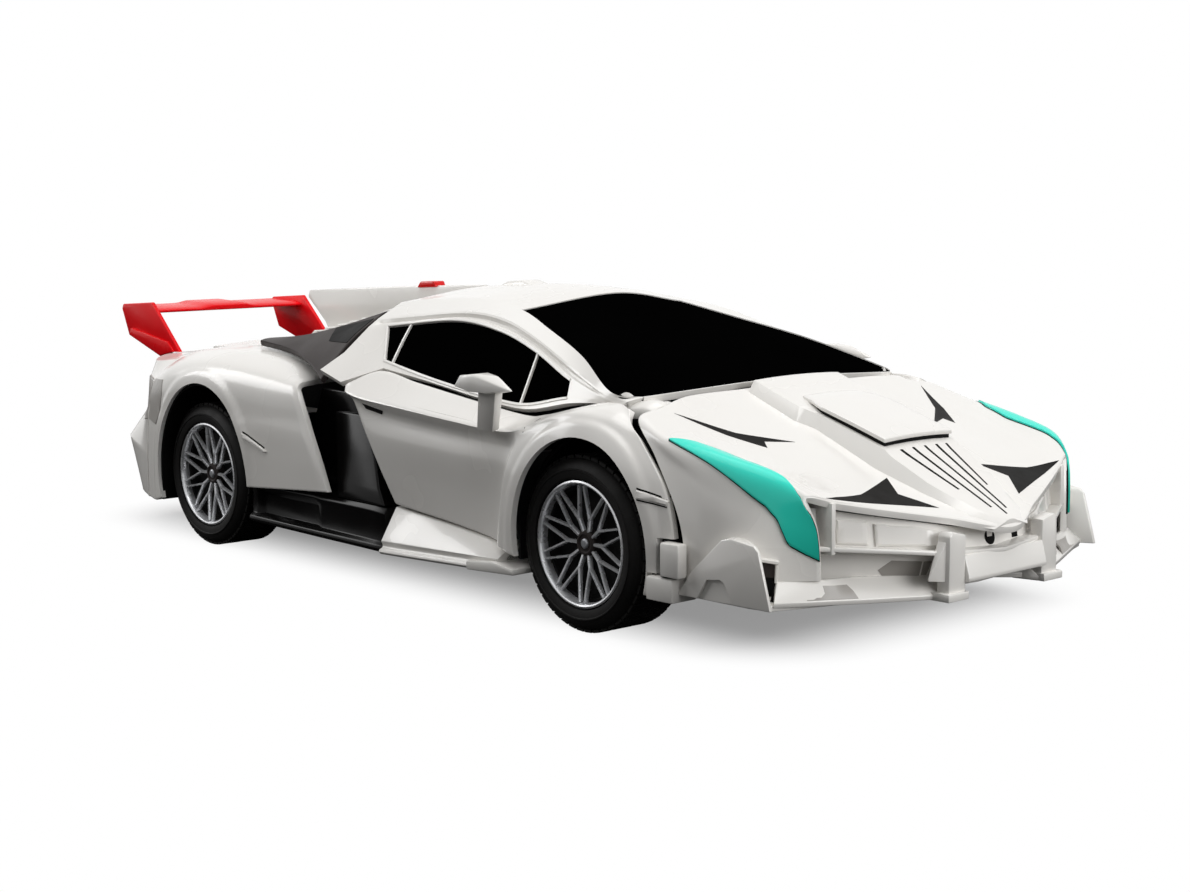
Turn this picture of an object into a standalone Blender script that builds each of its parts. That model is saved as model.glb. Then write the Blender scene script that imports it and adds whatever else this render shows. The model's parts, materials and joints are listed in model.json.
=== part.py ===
"""Transforming toy car, about 1:14: the front half stands up on the rear half and becomes a robot.

The design is drawn in millimetres, with +X to the nose, +Y to the car's left and the ground at z = 0,
and is scaled to metres when a mesh is made. Panel points give the distance out from the middle as a
positive number, and each side takes its own sign.
"""

import math

import bmesh
import bpy
from mathutils import Matrix, Vector

MM = 0.001
RIGHT, LEFT = -1, 1
SIDES = {"right": RIGHT, "left": LEFT}

# Overall body size, and the size that the panel points below are drawn at
BODY_LENGTH = 410.0
BODY_WIDTH = 148.0
BODY_HEIGHT = 92.0
DRAWN_LENGTH, DRAWN_WIDTH, DRAWN_HEIGHT = 410.0, 148.0, 92.0
LONG = BODY_LENGTH / DRAWN_LENGTH
WIDE = BODY_WIDTH / DRAWN_WIDTH
TALL = BODY_HEIGHT / DRAWN_HEIGHT

# Clearances
FIT = 0.3
RUNNING = 0.8
PANEL_GAP = 0.6
WELD = 1.0

# Walls
PANEL_WALL = 2.0
LENS_WALL = 1.4
LENS_GAP = 0.6
TRAY_WALL = 2.0

# Wheels and axles
WHEEL_RADIUS = 25.0
TYRE_WIDTH = 20.0
TYRE_ROUND = 3.0
RIM_RADIUS = 0.716 * WHEEL_RADIUS
RIM_LIP = 2.2
RIM_FACE_DEPTH = 3.0
RIM_RECESS = 1.5
HUB_RADIUS = 4.6
SPOKES = 10
AXLE_RADIUS = 1.5
AXLE_END = 4.0
WHEEL_FACE = 69.5 * WIDE
REAR_AXLE_X = -88.0 * LONG
FRONT_AXLE_X = 108.0 * LONG
AXLE_Z = WHEEL_RADIUS
WHEEL_INNER = WHEEL_FACE - TYRE_WIDTH

# Wheel arches, measured from the axle
FRONT_ARCH = {"ahead": 3.5, "half_width": WHEEL_RADIUS + 2.0, "height": WHEEL_RADIUS + 5.6}
ARCH_SIDES = 28
REAR_ARCH = {"ahead": 2.5, "half_width": WHEEL_RADIUS + 4.5, "height": WHEEL_RADIUS + 7.5}

# Gears
AXLE_TEETH, DRIVE_TEETH = 24, 10
LIFT_MODULE = 0.8
SECTOR_TEETH, LIFT_TEETH = 20, 12
GEAR_WIDTH = 4.0
BACKLASH = 0.15

# Motors
DRIVE_MOTOR_RADIUS = 10.0
DRIVE_MOTOR_LENGTH = 25.0
DRIVE_MOTOR_IN = 3.0
DRIVE_GEAR_IN = DRIVE_MOTOR_IN + DRIVE_MOTOR_LENGTH + 3.0
DRIVE_CENTRES = DRIVE_MOTOR_RADIUS + AXLE_RADIUS + 0.4
DRIVE_MODULE = 2 * DRIVE_CENTRES / (AXLE_TEETH + DRIVE_TEETH)
LIFT_MOTOR_RADIUS = 8.0
LIFT_MOTOR_LENGTH = 28.0
MOTOR_SHAFT_RADIUS = 1.2

# Frames, measured out from the middle of the car
CHASSIS_HALF = 42.0 * WIDE
WAIST_EAR = (31.5 * WIDE, 35.0 * WIDE)
NOSE_EAR = (50.6 * WIDE, 53.6 * WIDE)
LEG_SKIRT = (57.0 * WIDE, 68.5 * WIDE)
ARM_WALL_OUT = 65.0 * WIDE

# Joint axes
WAIST_X, WAIST_Z = -136.0 * LONG, 57.0 * TALL
WAIST_PIN_RADIUS = 2.0
NOSE_HINGE_X, NOSE_HINGE_Z = 121.2 * LONG, 67.3 * TALL
NOSE_PIN_RADIUS = 1.1
SHOULDER_X, SHOULDER_OUT = 146.0 * LONG, 69.7 * WIDE
SHOULDER_PIN_RADIUS = 1.3
KNUCKLE_WALL = 1.7
KNUCKLE_ROOM = 3.8
BEAM_TOP, KNUCKLE_TOP = 21.2 * TALL, 30.0 * TALL
NECK_Z = 31.5 * TALL
NECK_RADIUS = 2.0
BEAM_FRONT = SHOULDER_X + 1.5
HEAD_LENGTH = 23.0
HEAD_HALF_WIDTH, HEAD_HALF_DEPTH = 9.5, 8.5

# Tail wing
WING_HALF = 36.0 * WIDE
WING_PLATE = 1.6

# Battery, circuit board and the controls under the car
BATTERY = (52.0, 31.0, 19.0)
BATTERY_X = 20.0 * LONG
BOARD = (38.0, 30.0, 1.6)
BOARD_X = 100.0 * LONG
SWITCH_X = 66.0 * LONG
SWITCH = (5.0, 4.0)
SWITCH_TRAVEL = 4.0
BUTTON_X = 66.0 * LONG
BUTTON_Y = 20.0
BUTTON_RADIUS = 4.0
DOOR_MARGIN = 3.0
DOOR_THICK = 1.6
TRAY_BOTTOM = 14.0 * TALL

FINISHES = {
    "white_body": ((0.80, 0.79, 0.77), 0.22, 0.0),
    "black_trim": ((0.012, 0.012, 0.013), 0.30, 0.0),
    "black_gloss": ((0.006, 0.006, 0.007), 0.08, 0.0),
    "dark_grey": ((0.070, 0.062, 0.060), 0.40, 0.0),
    "red_wing": ((0.66, 0.004, 0.006), 0.25, 0.0),
    "turquoise_lens": ((0.05, 0.74, 0.58), 0.12, 0.0),
    "red_lens": ((0.50, 0.010, 0.010), 0.12, 0.0),
    "silver_rim": ((0.45, 0.46, 0.48), 0.35, 0.6),
    "tyre_rubber": ((0.020, 0.020, 0.020), 0.75, 0.0),
    "frame_plastic": ((0.030, 0.030, 0.033), 0.50, 0.0),
    "steel": ((0.55, 0.55, 0.56), 0.30, 1.0),
    "gear_plastic": ((0.75, 0.74, 0.70), 0.45, 0.0),
    "motor_can": ((0.60, 0.60, 0.61), 0.35, 1.0),
    "cell_wrap": ((0.05, 0.16, 0.50), 0.35, 0.0),
    "board_green": ((0.01, 0.16, 0.05), 0.40, 0.0),
    "head_grey": ((0.42, 0.43, 0.45), 0.30, 0.2),
}


def clear_scene():
    for item in list(bpy.data.objects):
        bpy.data.objects.remove(item, do_unlink=True)


def finish(name):
    """The material of this finish, made once."""
    made = bpy.data.materials.get(name)
    if made:
        return made
    colour, roughness, metallic = FINISHES[name]
    made = bpy.data.materials.new(name)
    made.use_nodes = True
    shader = made.node_tree.nodes["Principled BSDF"]
    shader.inputs["Base Color"].default_value = (*colour, 1.0)
    shader.inputs["Roughness"].default_value = roughness
    shader.inputs["Metallic"].default_value = metallic
    return made


def pivot(name, place, parent=None):
    """An empty on a joint's axis, for the pieces that turn or slide there."""
    empty = bpy.data.objects.new(name, None)
    bpy.context.collection.objects.link(empty)
    empty.matrix_world = Matrix.Translation(Vector(place) * MM)
    if parent:
        empty.parent = parent
        empty.matrix_parent_inverse = parent_inverse(parent)
    return empty


def parent_inverse(empty):
    bpy.context.view_layer.update()
    return empty.matrix_world.inverted()


def solid(name, points, faces, look=None, carrier=None):
    """An object from points in millimetres and faces, with its faces turned out."""
    mesh = bpy.data.meshes.new(name)
    mesh.from_pydata([Vector(p) * MM for p in points], [], faces)
    work = bmesh.new()
    work.from_mesh(mesh)
    bmesh.ops.recalc_face_normals(work, faces=work.faces)
    work.to_mesh(mesh)
    work.free()
    item = bpy.data.objects.new(name, mesh)
    bpy.context.collection.objects.link(item)
    if look:
        mesh.materials.append(finish(look))
    if carrier:
        item.parent = carrier
        item.matrix_parent_inverse = parent_inverse(carrier)
    return item


def helper(item):
    """Marks an object as a cutter or an addition, which isn't a piece by itself."""
    item.hide_render = True
    item.display_type = "WIRE"
    return item


def combine(item, operation, others):
    for other in others:
        step = item.modifiers.new(f"{operation.lower()} {other.name}", "BOOLEAN")
        step.operation = operation
        step.solver = "EXACT"
        step.object = helper(other)
    return item


def add(item, *others):
    return combine(item, "UNION", others)


def cut(item, *others):
    return combine(item, "DIFFERENCE", others)


def smooth(item, degrees=35.0):
    item.data.shade_smooth()
    item.data.set_sharp_from_angle(angle=math.radians(degrees))
    return item


def extruded(name, outline, axis, start, end, look=None, carrier=None):
    """An outline pushed from start to end along an axis; its points lie on the other two axes."""
    def corner(point, depth):
        values = list(point)
        values.insert("XYZ".index(axis), depth)
        return values

    count = len(outline)
    points = [corner(p, start) for p in outline] + [corner(p, end) for p in outline]
    faces = [list(range(count)), list(range(count, 2 * count))]
    faces += [[i, (i + 1) % count, count + (i + 1) % count, count + i] for i in range(count)]
    return solid(name, points, faces, look, carrier)


def block(name, xs, ys, zs, look=None, carrier=None):
    """A box between two values on each axis."""
    outline = [(xs[0], ys[0]), (xs[1], ys[0]), (xs[1], ys[1]), (xs[0], ys[1])]
    return extruded(name, outline, "Z", zs[0], zs[1], look, carrier)


def around(middle, reach):
    return middle - reach, middle + reach


def circle(centre, radius, sides):
    turns = [2 * math.pi * (i + 0.5) / sides for i in range(sides)]
    return [(centre[0] + radius * math.cos(t), centre[1] + radius * math.sin(t)) for t in turns]


def rod(name, centre, radius, axis, start, end, look=None, carrier=None, sides=16):
    """A round bar along an axis; the centre is on the other two axes."""
    item = extruded(name, circle(centre, radius, sides), axis, start, end, look, carrier)
    return smooth(item)


def gear_outline(centre, module, teeth, turn=0.0):
    """Trapezoid teeth on a pitch circle, thinned for backlash."""
    pitch = module * teeth / 2
    tooth_points = ((-0.32, -1.15), (-0.11, 0.90), (0.11, 0.90), (0.32, -1.15))
    outline = []
    for tooth in range(teeth):
        for share, height in tooth_points:
            angle = turn + 2 * math.pi * (tooth + share) / teeth
            radius = pitch + module * height
            outline.append((centre[0] + radius * math.cos(angle), centre[1] + radius * math.sin(angle)))
    return outline


def turned(name, profile, centre, axis_from, look=None, carrier=None, sides=28):
    """A ring turned about Y: the profile gives (distance out along Y, radius) pairs, closed on itself."""
    points, faces = [], []
    count = len(profile)
    for step in range(sides):
        angle = 2 * math.pi * step / sides
        for along, radius in profile:
            x = centre[0] + radius * math.cos(angle)
            z = centre[1] + radius * math.sin(angle)
            points.append((x, axis_from * along, z))
    for step in range(sides):
        here, there = step * count, ((step + 1) % sides) * count
        for i in range(count):
            j = (i + 1) % count
            faces.append([here + i, here + j, there + j, there + i])
    return smooth(solid(name, points, faces, look, carrier))


def spline(points, t, creases=()):
    """The point at t on a smooth curve through the given ones; it turns sharply at a crease."""
    last = len(points) - 1
    i = min(int(t), last - 1)
    f = t - i
    b, c = points[i], points[i + 1]
    a = points[i - 1] if i > 0 and i not in creases else 2 * b - c
    d = points[i + 2] if i + 2 <= last and i + 1 not in creases else 2 * c - b
    return 0.5 * (2 * b + (c - a) * f + (2 * a - 5 * b + 4 * c - d) * f**2 + (3 * b - a - 3 * c + d) * f**3)


class Skin:
    """A smooth body surface through rows of drawn points, on one side of the car or right across it."""

    def __init__(self, rows, side=RIGHT, outward=(0, 0, 1), across=False, row_creases=(), column_creases=()):
        if across:
            rows = [[(x, -w, z) for x, w, z in row] + [(x, w, z) for x, w, z in row[-2::-1]] for row in rows]
        else:
            rows = [[(x, side * w, z) for x, w, z in row] for row in rows]
        self.rows = [[Vector((x * LONG, y * WIDE, z * TALL)) for x, y, z in row] for row in rows]
        self.outward = Vector(outward)
        self.row_creases, self.column_creases = row_creases, column_creases

    def at(self, u, v):
        column = [spline(row, v, self.column_creases) for row in self.rows]
        return spline(column, u, self.row_creases)

    def normal(self, u, v, step=0.02):
        top_u, top_v = len(self.rows) - 1, len(self.rows[0]) - 1
        along_u = self.at(min(u + step, top_u), v) - self.at(max(u - step, 0), v)
        along_v = self.at(u, min(v + step, top_v)) - self.at(u, max(v - step, 0))
        facing = along_u.cross(along_v).normalized()
        return facing if facing.dot(self.outward) > 0 else -facing

    def size(self):
        return len(self.rows) - 1, len(self.rows[0]) - 1


def steps(start, end, count):
    return [start + (end - start) * i / count for i in range(count + 1)]


def whole(skin, fine_u=2, fine_v=2):
    """Places all over a skin, with this many steps between two drawn rows and two drawn columns."""
    top_u, top_v = skin.size()
    return [[(u, v) for v in steps(0, top_v, top_v * fine_v)] for u in steps(0, top_u, top_u * fine_u)]


def panel(name, skin, places, wall, look, carrier, lift=0.0, keep=None):
    """A wall of a skin over these (u, v) places, closed all round; keep says which cells it has."""
    rows, columns = len(places), len(places[0])
    outer, inner = [], []
    for row in places:
        for u, v in row:
            point, facing = skin.at(u, v), skin.normal(u, v)
            outer.append(point + facing * lift)
            inner.append(point + facing * (lift - wall))
    cells = []
    for i in range(rows - 1):
        for j in range(columns - 1):
            middle_u = (places[i][j][0] + places[i + 1][j][0]) / 2
            middle_v = (places[i][j][1] + places[i][j + 1][1]) / 2
            if keep is None or keep(middle_u, middle_v):
                k = i * columns + j
                cells.append([k, k + 1, k + columns + 1, k + columns])
    used = sorted({k for cell in cells for k in cell})
    index = {k: n for n, k in enumerate(used)}
    count = len(used)
    points = [outer[k] for k in used] + [inner[k] for k in used]
    faces = [[index[k] for k in cell] for cell in cells]
    edges = {(cell[n], cell[(n + 1) % 4]) for cell in faces for n in range(4)}
    rim = [[b, a, a + count, b + count] for a, b in edges if (b, a) not in edges]
    faces += [[k + count for k in reversed(cell)] for cell in faces] + rim
    return smooth(solid(name, points, faces, look, carrier))


def mirrored_outline(half):
    """A closed plan outline from its left half, listed from front to rear."""
    return [(x, y) for x, y in half] + [(x, -y) for x, y in reversed(half) if y > 0]


# Panel points, drawn in millimetres as (forward, out from the middle, up)

ARM_ROWS = (
    ((-2, 69.2, 63.4), (26, 62.4, 64.2), (52, 61.4, 60.6), (73, 60.4, 57.9), (83, 60.0, 58.6),
     (96, 59.4, 61.2), (108, 59.4, 63.8), (116, 60.4, 64.4), (121.0, 62.4, 63.4)),
    ((1, 71.2, 59.2), (26, 71.6, 57.8), (52, 70.8, 55.6), (73, 69.6, 54.2), (83, 70.0, 55.6),
     (96, 68.6, 60.2), (108, 67.0, 62.8), (118, 66.3, 62.4), (126.0, 66.0, 59.8)),
    ((3, 71.0, 56.4), (26, 71.2, 55.0), (52, 70.2, 53.0), (73, 69.6, 51.6), (83, 71.6, 52.6),
     (96, 71.8, 57.2), (109, 71.0, 60.0), (121, 69.4, 58.6), (131.0, 67.6, 55.6)),
    ((9, 69.6, 46.0), (28, 69.2, 45.5), (52, 68.6, 44.5), (73, 69.0, 43.5), (83, 73.0, 43.0),
     (96, 74.0, 47.0), (110, 74.0, 49.0), (127, 72.6, 48.0), (141.0, 69.6, 45.0)),
    ((15, 68.8, 36.0), (30, 68.6, 35.0), (52, 68.2, 34.0), (73, 68.8, 32.5), (83, 73.2, 31.5),
     (96, 74.0, 32.0), (112, 74.0, 32.0), (131, 73.0, 32.0), (145.4, 70.0, 32.0)),
    ((20.2, 68.0, 26.6), (32, 68.0, 25.4), (52, 67.8, 23.6), (73, 68.4, 21.4), (84, 72.6, 19.8),
     (97, 73.4, 18.0), (113, 73.4, 16.5), (132, 72.4, 15.5), (145.8, 69.8, 15.2)),
)

FENDER_ROWS = (
    ((-34, 49.0, 61.6), (-48, 46.5, 65.4), (-66, 45.0, 67.6), (-88, 44.6, 68.4), (-108, 45.5, 67.6),
     (-122.5, 47.0, 65.4)),
    ((-32.5, 60.0, 61.4), (-47, 60.0, 64.8), (-66, 60.5, 66.8), (-88, 61.0, 67.4), (-108, 60.5, 66.0),
     (-122, 59.0, 62.6)),
    ((-29, 69.4, 59.4), (-45, 70.2, 60.4), (-66, 71.4, 61.4), (-88, 72.2, 61.6), (-107, 71.4, 59.6),
     (-122, 69.0, 55.5)),
    ((-21.5, 71.2, 47.5), (-42, 72.4, 47.5), (-64, 73.4, 47.0), (-88, 74.0, 46.0), (-110, 73.4, 45.0),
     (-123, 71.2, 43.0)),
    ((-15.5, 71.6, 37.0), (-38, 72.6, 36.5), (-62, 73.4, 36.0), (-88, 74.0, 35.0), (-112, 73.6, 32.0),
     (-123.5, 71.8, 29.0)),
    ((-10.5, 71.4, 26.2), (-34, 72.4, 26.2), (-60, 73.0, 26.2), (-88, 73.6, 26.0), (-113, 73.4, 14.0),
     (-124, 71.6, 13.4)),
)

BUMPER_ROWS = (
    ((-123.1, 47.0, 65.4), (-134, 44.5, 63.6), (-144, 34.0, 62.8), (-147, 17.0, 62.8), (-148, 0, 62.8)),
    ((-122.6, 59.0, 62.6), (-146, 56.0, 61.4), (-163, 40.0, 61.2), (-172, 20.0, 61.0), (-175, 0, 61.0)),
    ((-122.6, 69.0, 55.5), (-148, 60.5, 55.6), (-162, 42.0, 56.0), (-170, 21.0, 56.2), (-172.5, 0, 56.2)),
    ((-123.6, 71.2, 43.0), (-149, 63.5, 42.5), (-161, 44.0, 42.0), (-166, 22.0, 42.0), (-167, 0, 42.0)),
    ((-124.1, 71.8, 29.0), (-149.5, 66.0, 33.0), (-162, 46.0, 32.0), (-167, 23.0, 31.0), (-168, 0, 31.0)),
    ((-124.6, 71.6, 13.4), (-140, 64.5, 14.6), (-154, 45.0, 17.0), (-159, 22.0, 18.0), (-160, 0, 18.0)),
)

NOSE_ROWS = (
    ((152.2, 69.3, 18.2), (149.8, 69.8, 36.0), (139.4, 68.0, 51.6), (127.6, 64.2, 61.2), (125.6, 54.0, 63.8),
     (124.0, 42.0, 66.1), (123.8, 20.0, 67.6), (124.2, 0, 68.0)),
    ((155.6, 69.0, 18.2), (154.4, 69.2, 33.0), (149.0, 68.0, 48.2), (140.0, 66.0, 57.2), (139.0, 54.0, 59.0),
     (139.5, 42.0, 60.4), (140.0, 20.0, 61.4), (141.0, 0, 61.8)),
    ((159.5, 68.4, 18.2), (159.5, 68.4, 30.0), (159.0, 67.4, 44.0), (158.0, 64.6, 53.4), (157.5, 54.0, 53.2),
     (158.0, 42.0, 53.4), (159.0, 20.0, 53.8), (160.5, 0, 54.0)),
    ((171.0, 66.8, 18.2), (171.5, 66.6, 29.0), (171.5, 65.2, 40.6), (172.0, 61.6, 50.0), (173.5, 51.5, 48.6),
     (174.5, 40.0, 47.4), (177.5, 20.0, 46.2), (181.0, 0, 45.2)),
    ((178.0, 60.6, 18.2), (179.4, 58.6, 26.0), (180.6, 57.4, 36.0), (181.0, 56.2, 44.4), (185.0, 47.0, 42.6),
     (189.0, 38.0, 40.8), (197.0, 19.0, 37.2), (204.0, 0, 33.6)),
)

# The headlight's upper edge on the nose, and how far it reaches down from there, in places on the skin
HEADLIGHT_EDGE = 2.96
HEADLIGHT = ((1.15, 0.16), (1.6, 0.5), (2.1, 0.75), (2.7, 0.92), (3.2, 1.1), (3.6, 1.4), (3.96, 1.8))

CABIN_ROWS = (
    ((-6, 68.6, 65.4), (-9, 65.5, 68.5), (-12, 54.5, 77.0), (-13, 48.0, 81.5), (-14, 38.0, 86.4),
     (-14, 0, 90.4)),
    ((3, 61.0, 67.8), (2, 59.2, 69.4), (2, 50.4, 79.8), (1, 46.8, 82.8), (0, 36.0, 88.0), (0, 0, 91.4)),
    ((29, 60.4, 65.2), (30, 58.6, 66.8), (31, 48.2, 83.0), (31, 45.2, 85.2), (24, 34.5, 88.8), (24, 0, 92.0)),
    ((52, 59.6, 62.0), (52, 57.8, 63.8), (50, 48.6, 81.2), (49, 45.6, 84.0), (43, 34.2, 86.0), (49, 0, 90.2)),
    ((73, 58.8, 59.8), (70, 57.2, 61.8), (69, 51.6, 75.4), (68, 48.8, 78.8), (63, 40.2, 81.2), (73, 0, 84.4)),
    ((92, 58.0, 62.4), (89, 56.2, 65.0), (89, 55.0, 68.4), (90, 53.4, 71.2), (87, 48.6, 75.0), (97, 0, 77.4)),
    ((106, 57.6, 65.6), (106, 57.3, 66.3), (106, 56.9, 66.9), (106.5, 56.4, 67.4), (109, 54.6, 68.2),
     (120, 0, 70.0)),
    ((112, 56.6, 65.2), (113, 55.9, 65.7), (114, 55.0, 66.1), (115, 54.0, 66.5), (117.6, 49.0, 67.4),
     (122.6, 0, 68.6)),
)

COVER_ROWS = (
    ((-15.6, 42.0, 84.2), (-15.6, 21.0, 87.2), (-15.6, 0, 88.2)),
    ((-40, 42.6, 77.4), (-40, 21.5, 80.0), (-40, 0, 80.6)),
    ((-70, 43.0, 70.8), (-70, 21.5, 73.0), (-70, 0, 73.6)),
    ((-100, 43.0, 68.0), (-100, 21.5, 69.6), (-100, 0, 70.0)),
    ((-124, 43.0, 66.6), (-124, 21.5, 67.8), (-124, 0, 68.2)),
)

BUTTRESS_ROWS = (
    ((-14.8, 43.4, 83.9), (-39, 43.8, 78.2), (-62, 44.0, 73.8), (-84, 44.4, 71.6)),
    ((-17, 56.0, 75.0), (-39, 52.0, 73.2), (-60, 49.0, 71.8), (-84, 46.6, 71.4)),
    ((-20, 66.0, 65.6), (-37, 60.0, 68.0), (-58, 53.6, 69.8), (-84, 48.2, 71.0)),
)


def add_rear_base(base):
    """The robot's legs: chassis, motors, waist bearing, fenders, bumper and wing."""
    floor_top = AXLE_Z - DRIVE_MOTOR_RADIUS - FIT
    floor = floor_top - TRAY_WALL
    half, top = CHASSIS_HALF, 40.0 * TALL
    front, back, tail = -58.0 * LONG, -112.0 * LONG, -150.0 * LONG
    ear_in, ear_out = WAIST_EAR
    chassis = block("rear_chassis", (back, front), (-half, half), (floor, top), "frame_plastic", base)
    hollow = block("rear_chassis_hollow", (back + TRAY_WALL, front - TRAY_WALL),
                   (-half + TRAY_WALL, half - TRAY_WALL), (floor_top, top + WELD))
    tail_floor = block("rear_chassis_tail", (tail, back + TRAY_WALL / 2), (-half, half), (floor, floor_top))
    ears = []
    ear = ((back - WELD, floor), (back - WELD, top), (WAIST_X + 7, WAIST_Z + 4), (WAIST_X - 5, WAIST_Z + 4),
           (WAIST_X - 10, WAIST_Z - 5), (tail, top), (tail, floor))
    for name, side in SIDES.items():
        ears.append(extruded(f"waist_ear_{name}", ear, "Y", side * ear_in, side * ear_out))
    axle_bore = rod("axle_bore", (REAR_AXLE_X, AXLE_Z), AXLE_RADIUS + FIT, "Y", -half - WELD, half + WELD)
    waist_bore = rod("waist_bore", (WAIST_X, WAIST_Z), WAIST_PIN_RADIUS + FIT, "Y", -half, half)
    cut(chassis, hollow)
    add(chassis, tail_floor, *ears)
    cut(chassis, axle_bore, waist_bore)

    rod("waist_pin", (WAIST_X, WAIST_Z), WAIST_PIN_RADIUS, "Y", -ear_out - FIT, ear_out + FIT, "steel", base)
    sector_in, sector_out = lift_gear_span()
    sector = extruded("lift_sector", gear_outline((WAIST_X, WAIST_Z), LIFT_MODULE, SECTOR_TEETH), "Y",
                      sector_in, sector_out, "gear_plastic", base)
    hub = rod("lift_sector_hub", (WAIST_X, WAIST_Z), 5.0, "Y", sector_out - WELD, ear_in - FIT)
    bore = rod("lift_sector_bore", (WAIST_X, WAIST_Z), WAIST_PIN_RADIUS + FIT, "Y", 0, ear_in + WELD)
    cut(add(sector, hub), bore)

    add_diffuser(base, floor - FIT, tail)

    bumper_skin = Skin(BUMPER_ROWS, outward=(-1, 0, 0.2), across=True, row_creases=(1, 2))
    panel("rear_bumper", bumper_skin, whole(bumper_skin, 2, 1), PANEL_WALL, "white_body", base)
    for name, side in SIDES.items():
        start, end = (1.2, 2.6) if side == RIGHT else (6.8, 5.4)
        places = [[(u, v) for v in steps(start, end, 4)] for u in steps(2.25, 2.75, 2)]
        panel(f"tail_light_{name}", bumper_skin, places, LENS_WALL, "red_lens", base, LENS_WALL + LENS_GAP)

    for name, side in SIDES.items():
        add_leg_side(name, side, base)
    add_wing(base)


def add_diffuser(base, top, kick):
    """The black plate under the tail, turned up behind the kick line, with four fins below it."""
    start, end = -116.0 * LONG, -160.0 * LONG
    half = CHASSIS_HALF + 1
    outline = ((start, top - 2), (start, top), (kick, top), (end, top + 3), (end, top + 1), (kick, top - 2))
    diffuser = extruded("rear_diffuser", outline, "Y", -half, half, "black_trim", base)
    fin = ((start - 4, top - 1), (kick, top - 1), (end + 2, top - 2), (kick + 10, top - 6),
           (start - 8, top - 4))
    fins = []
    for n, share in enumerate((-0.7, -0.23, 0.23, 0.7)):
        middle = share * half
        fins.append(extruded(f"diffuser_fin_{n}", fin, "Y", middle - 0.8, middle + 0.8))
    add(diffuser, *fins)


def add_leg_side(name, side, base):
    """One leg's outer pieces: fender, black side piece and drive motor."""
    skin = Skin(FENDER_ROWS, side, outward=(0, side, 0.6))
    fender = panel(f"rear_fender_{name}", skin, whole(skin), PANEL_WALL, "white_body", base)
    arch = arch_cutter(f"rear_arch_{name}", REAR_AXLE_X, REAR_ARCH, side)
    cut(fender, arch)

    skirt_in, skirt_out = LEG_SKIRT
    back, front, bottom, top = -60.0 * LONG, 16.0 * LONG, 10.6 * TALL, 25.6 * TALL
    outline = ((back, bottom + 1), (front, bottom), (front - 2, top - 0.6), (back, top))
    skirt = extruded(f"leg_frame_{name}", outline, "Y", side * skirt_in, side * skirt_out, "black_gloss",
                     base)
    wall = ((-52 * LONG, top - WELD), (13 * LONG, top - WELD), (7 * LONG, 45 * TALL), (-5 * LONG, 58 * TALL),
            (-30 * LONG, 58 * TALL), (-36 * LONG, 45 * TALL))
    inner_wall = extruded(f"leg_wall_{name}", wall, "Y", side * skirt_in, side * (skirt_in + 2.5))
    link_ys = sorted((side * (CHASSIS_HALF + FIT), side * (skirt_in + WELD)))
    link = block(f"leg_link_{name}", (back, back + 10), link_ys, (14 * TALL, 24 * TALL))
    seat = skin.at(4, 1)
    boss_ys = sorted((side * skirt_in, side * (abs(seat.y) - PANEL_WALL - 1.5 * FIT)))
    boss = block(f"fender_boss_{name}", (seat.x - 3, seat.x + 3), boss_ys, (top - WELD, seat.z))
    add(skirt, inner_wall, link, boss)

    motor_x = REAR_AXLE_X + drive_centres()
    rod(f"drive_motor_{name}", (motor_x, AXLE_Z), DRIVE_MOTOR_RADIUS, "Y", side * DRIVE_MOTOR_IN,
        side * (DRIVE_MOTOR_IN + DRIVE_MOTOR_LENGTH), "motor_can", base, 24)


def add_wing(base):
    """The red tail wing: a blade between two upright end plates that stand on the bumper's deck."""
    plate_in = WING_HALF - WING_PLATE
    plate = ((-160.5, 61.8), (-166.5, 61.5), (-174, 58.9), (-199, 66.5), (-204, 77.0), (-203, 78.8),
             (-180.5, 80.2))
    outline = [(x * LONG, z * TALL) for x, z in plate]
    for name, side in SIDES.items():
        extruded(f"wing_endplate_{name}", outline, "Y", side * plate_in, side * WING_HALF, "red_wing", base)
    section = ((-202.5, 76.4), (-192, 74.9), (-184, 74.4), (-181, 75.0), (-180.8, 76.6), (-184, 77.6),
               (-193, 77.9), (-202.5, 78.2))
    reach = plate_in - FIT
    extruded("wing_blade", [(x * LONG, z * TALL) for x, z in section], "Y", -reach, reach, "red_wing", base)


def arch_cutter(name, axle_x, arch, side):
    """The opening over a wheel, an ellipse about a point just ahead of the axle."""
    middle = axle_x + arch["ahead"]
    wide, high = arch["half_width"], arch["height"]
    turns = [2 * math.pi * i / ARCH_SIDES for i in range(ARCH_SIDES)]
    outline = [(middle + wide * math.cos(t), AXLE_Z + high * math.sin(t)) for t in turns]
    return extruded(name, outline, "Y", side * (WHEEL_FACE - 4), side * (WHEEL_FACE + 12))


def drive_centres():
    return DRIVE_CENTRES + BACKLASH


def lift_centres():
    return LIFT_MODULE * (SECTOR_TEETH + LIFT_TEETH) / 2 + BACKLASH


def lift_gear_span():
    """Where the lift gears lie across the car."""
    start = 22.5 * WIDE
    return start, start + GEAR_WIDTH


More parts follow.
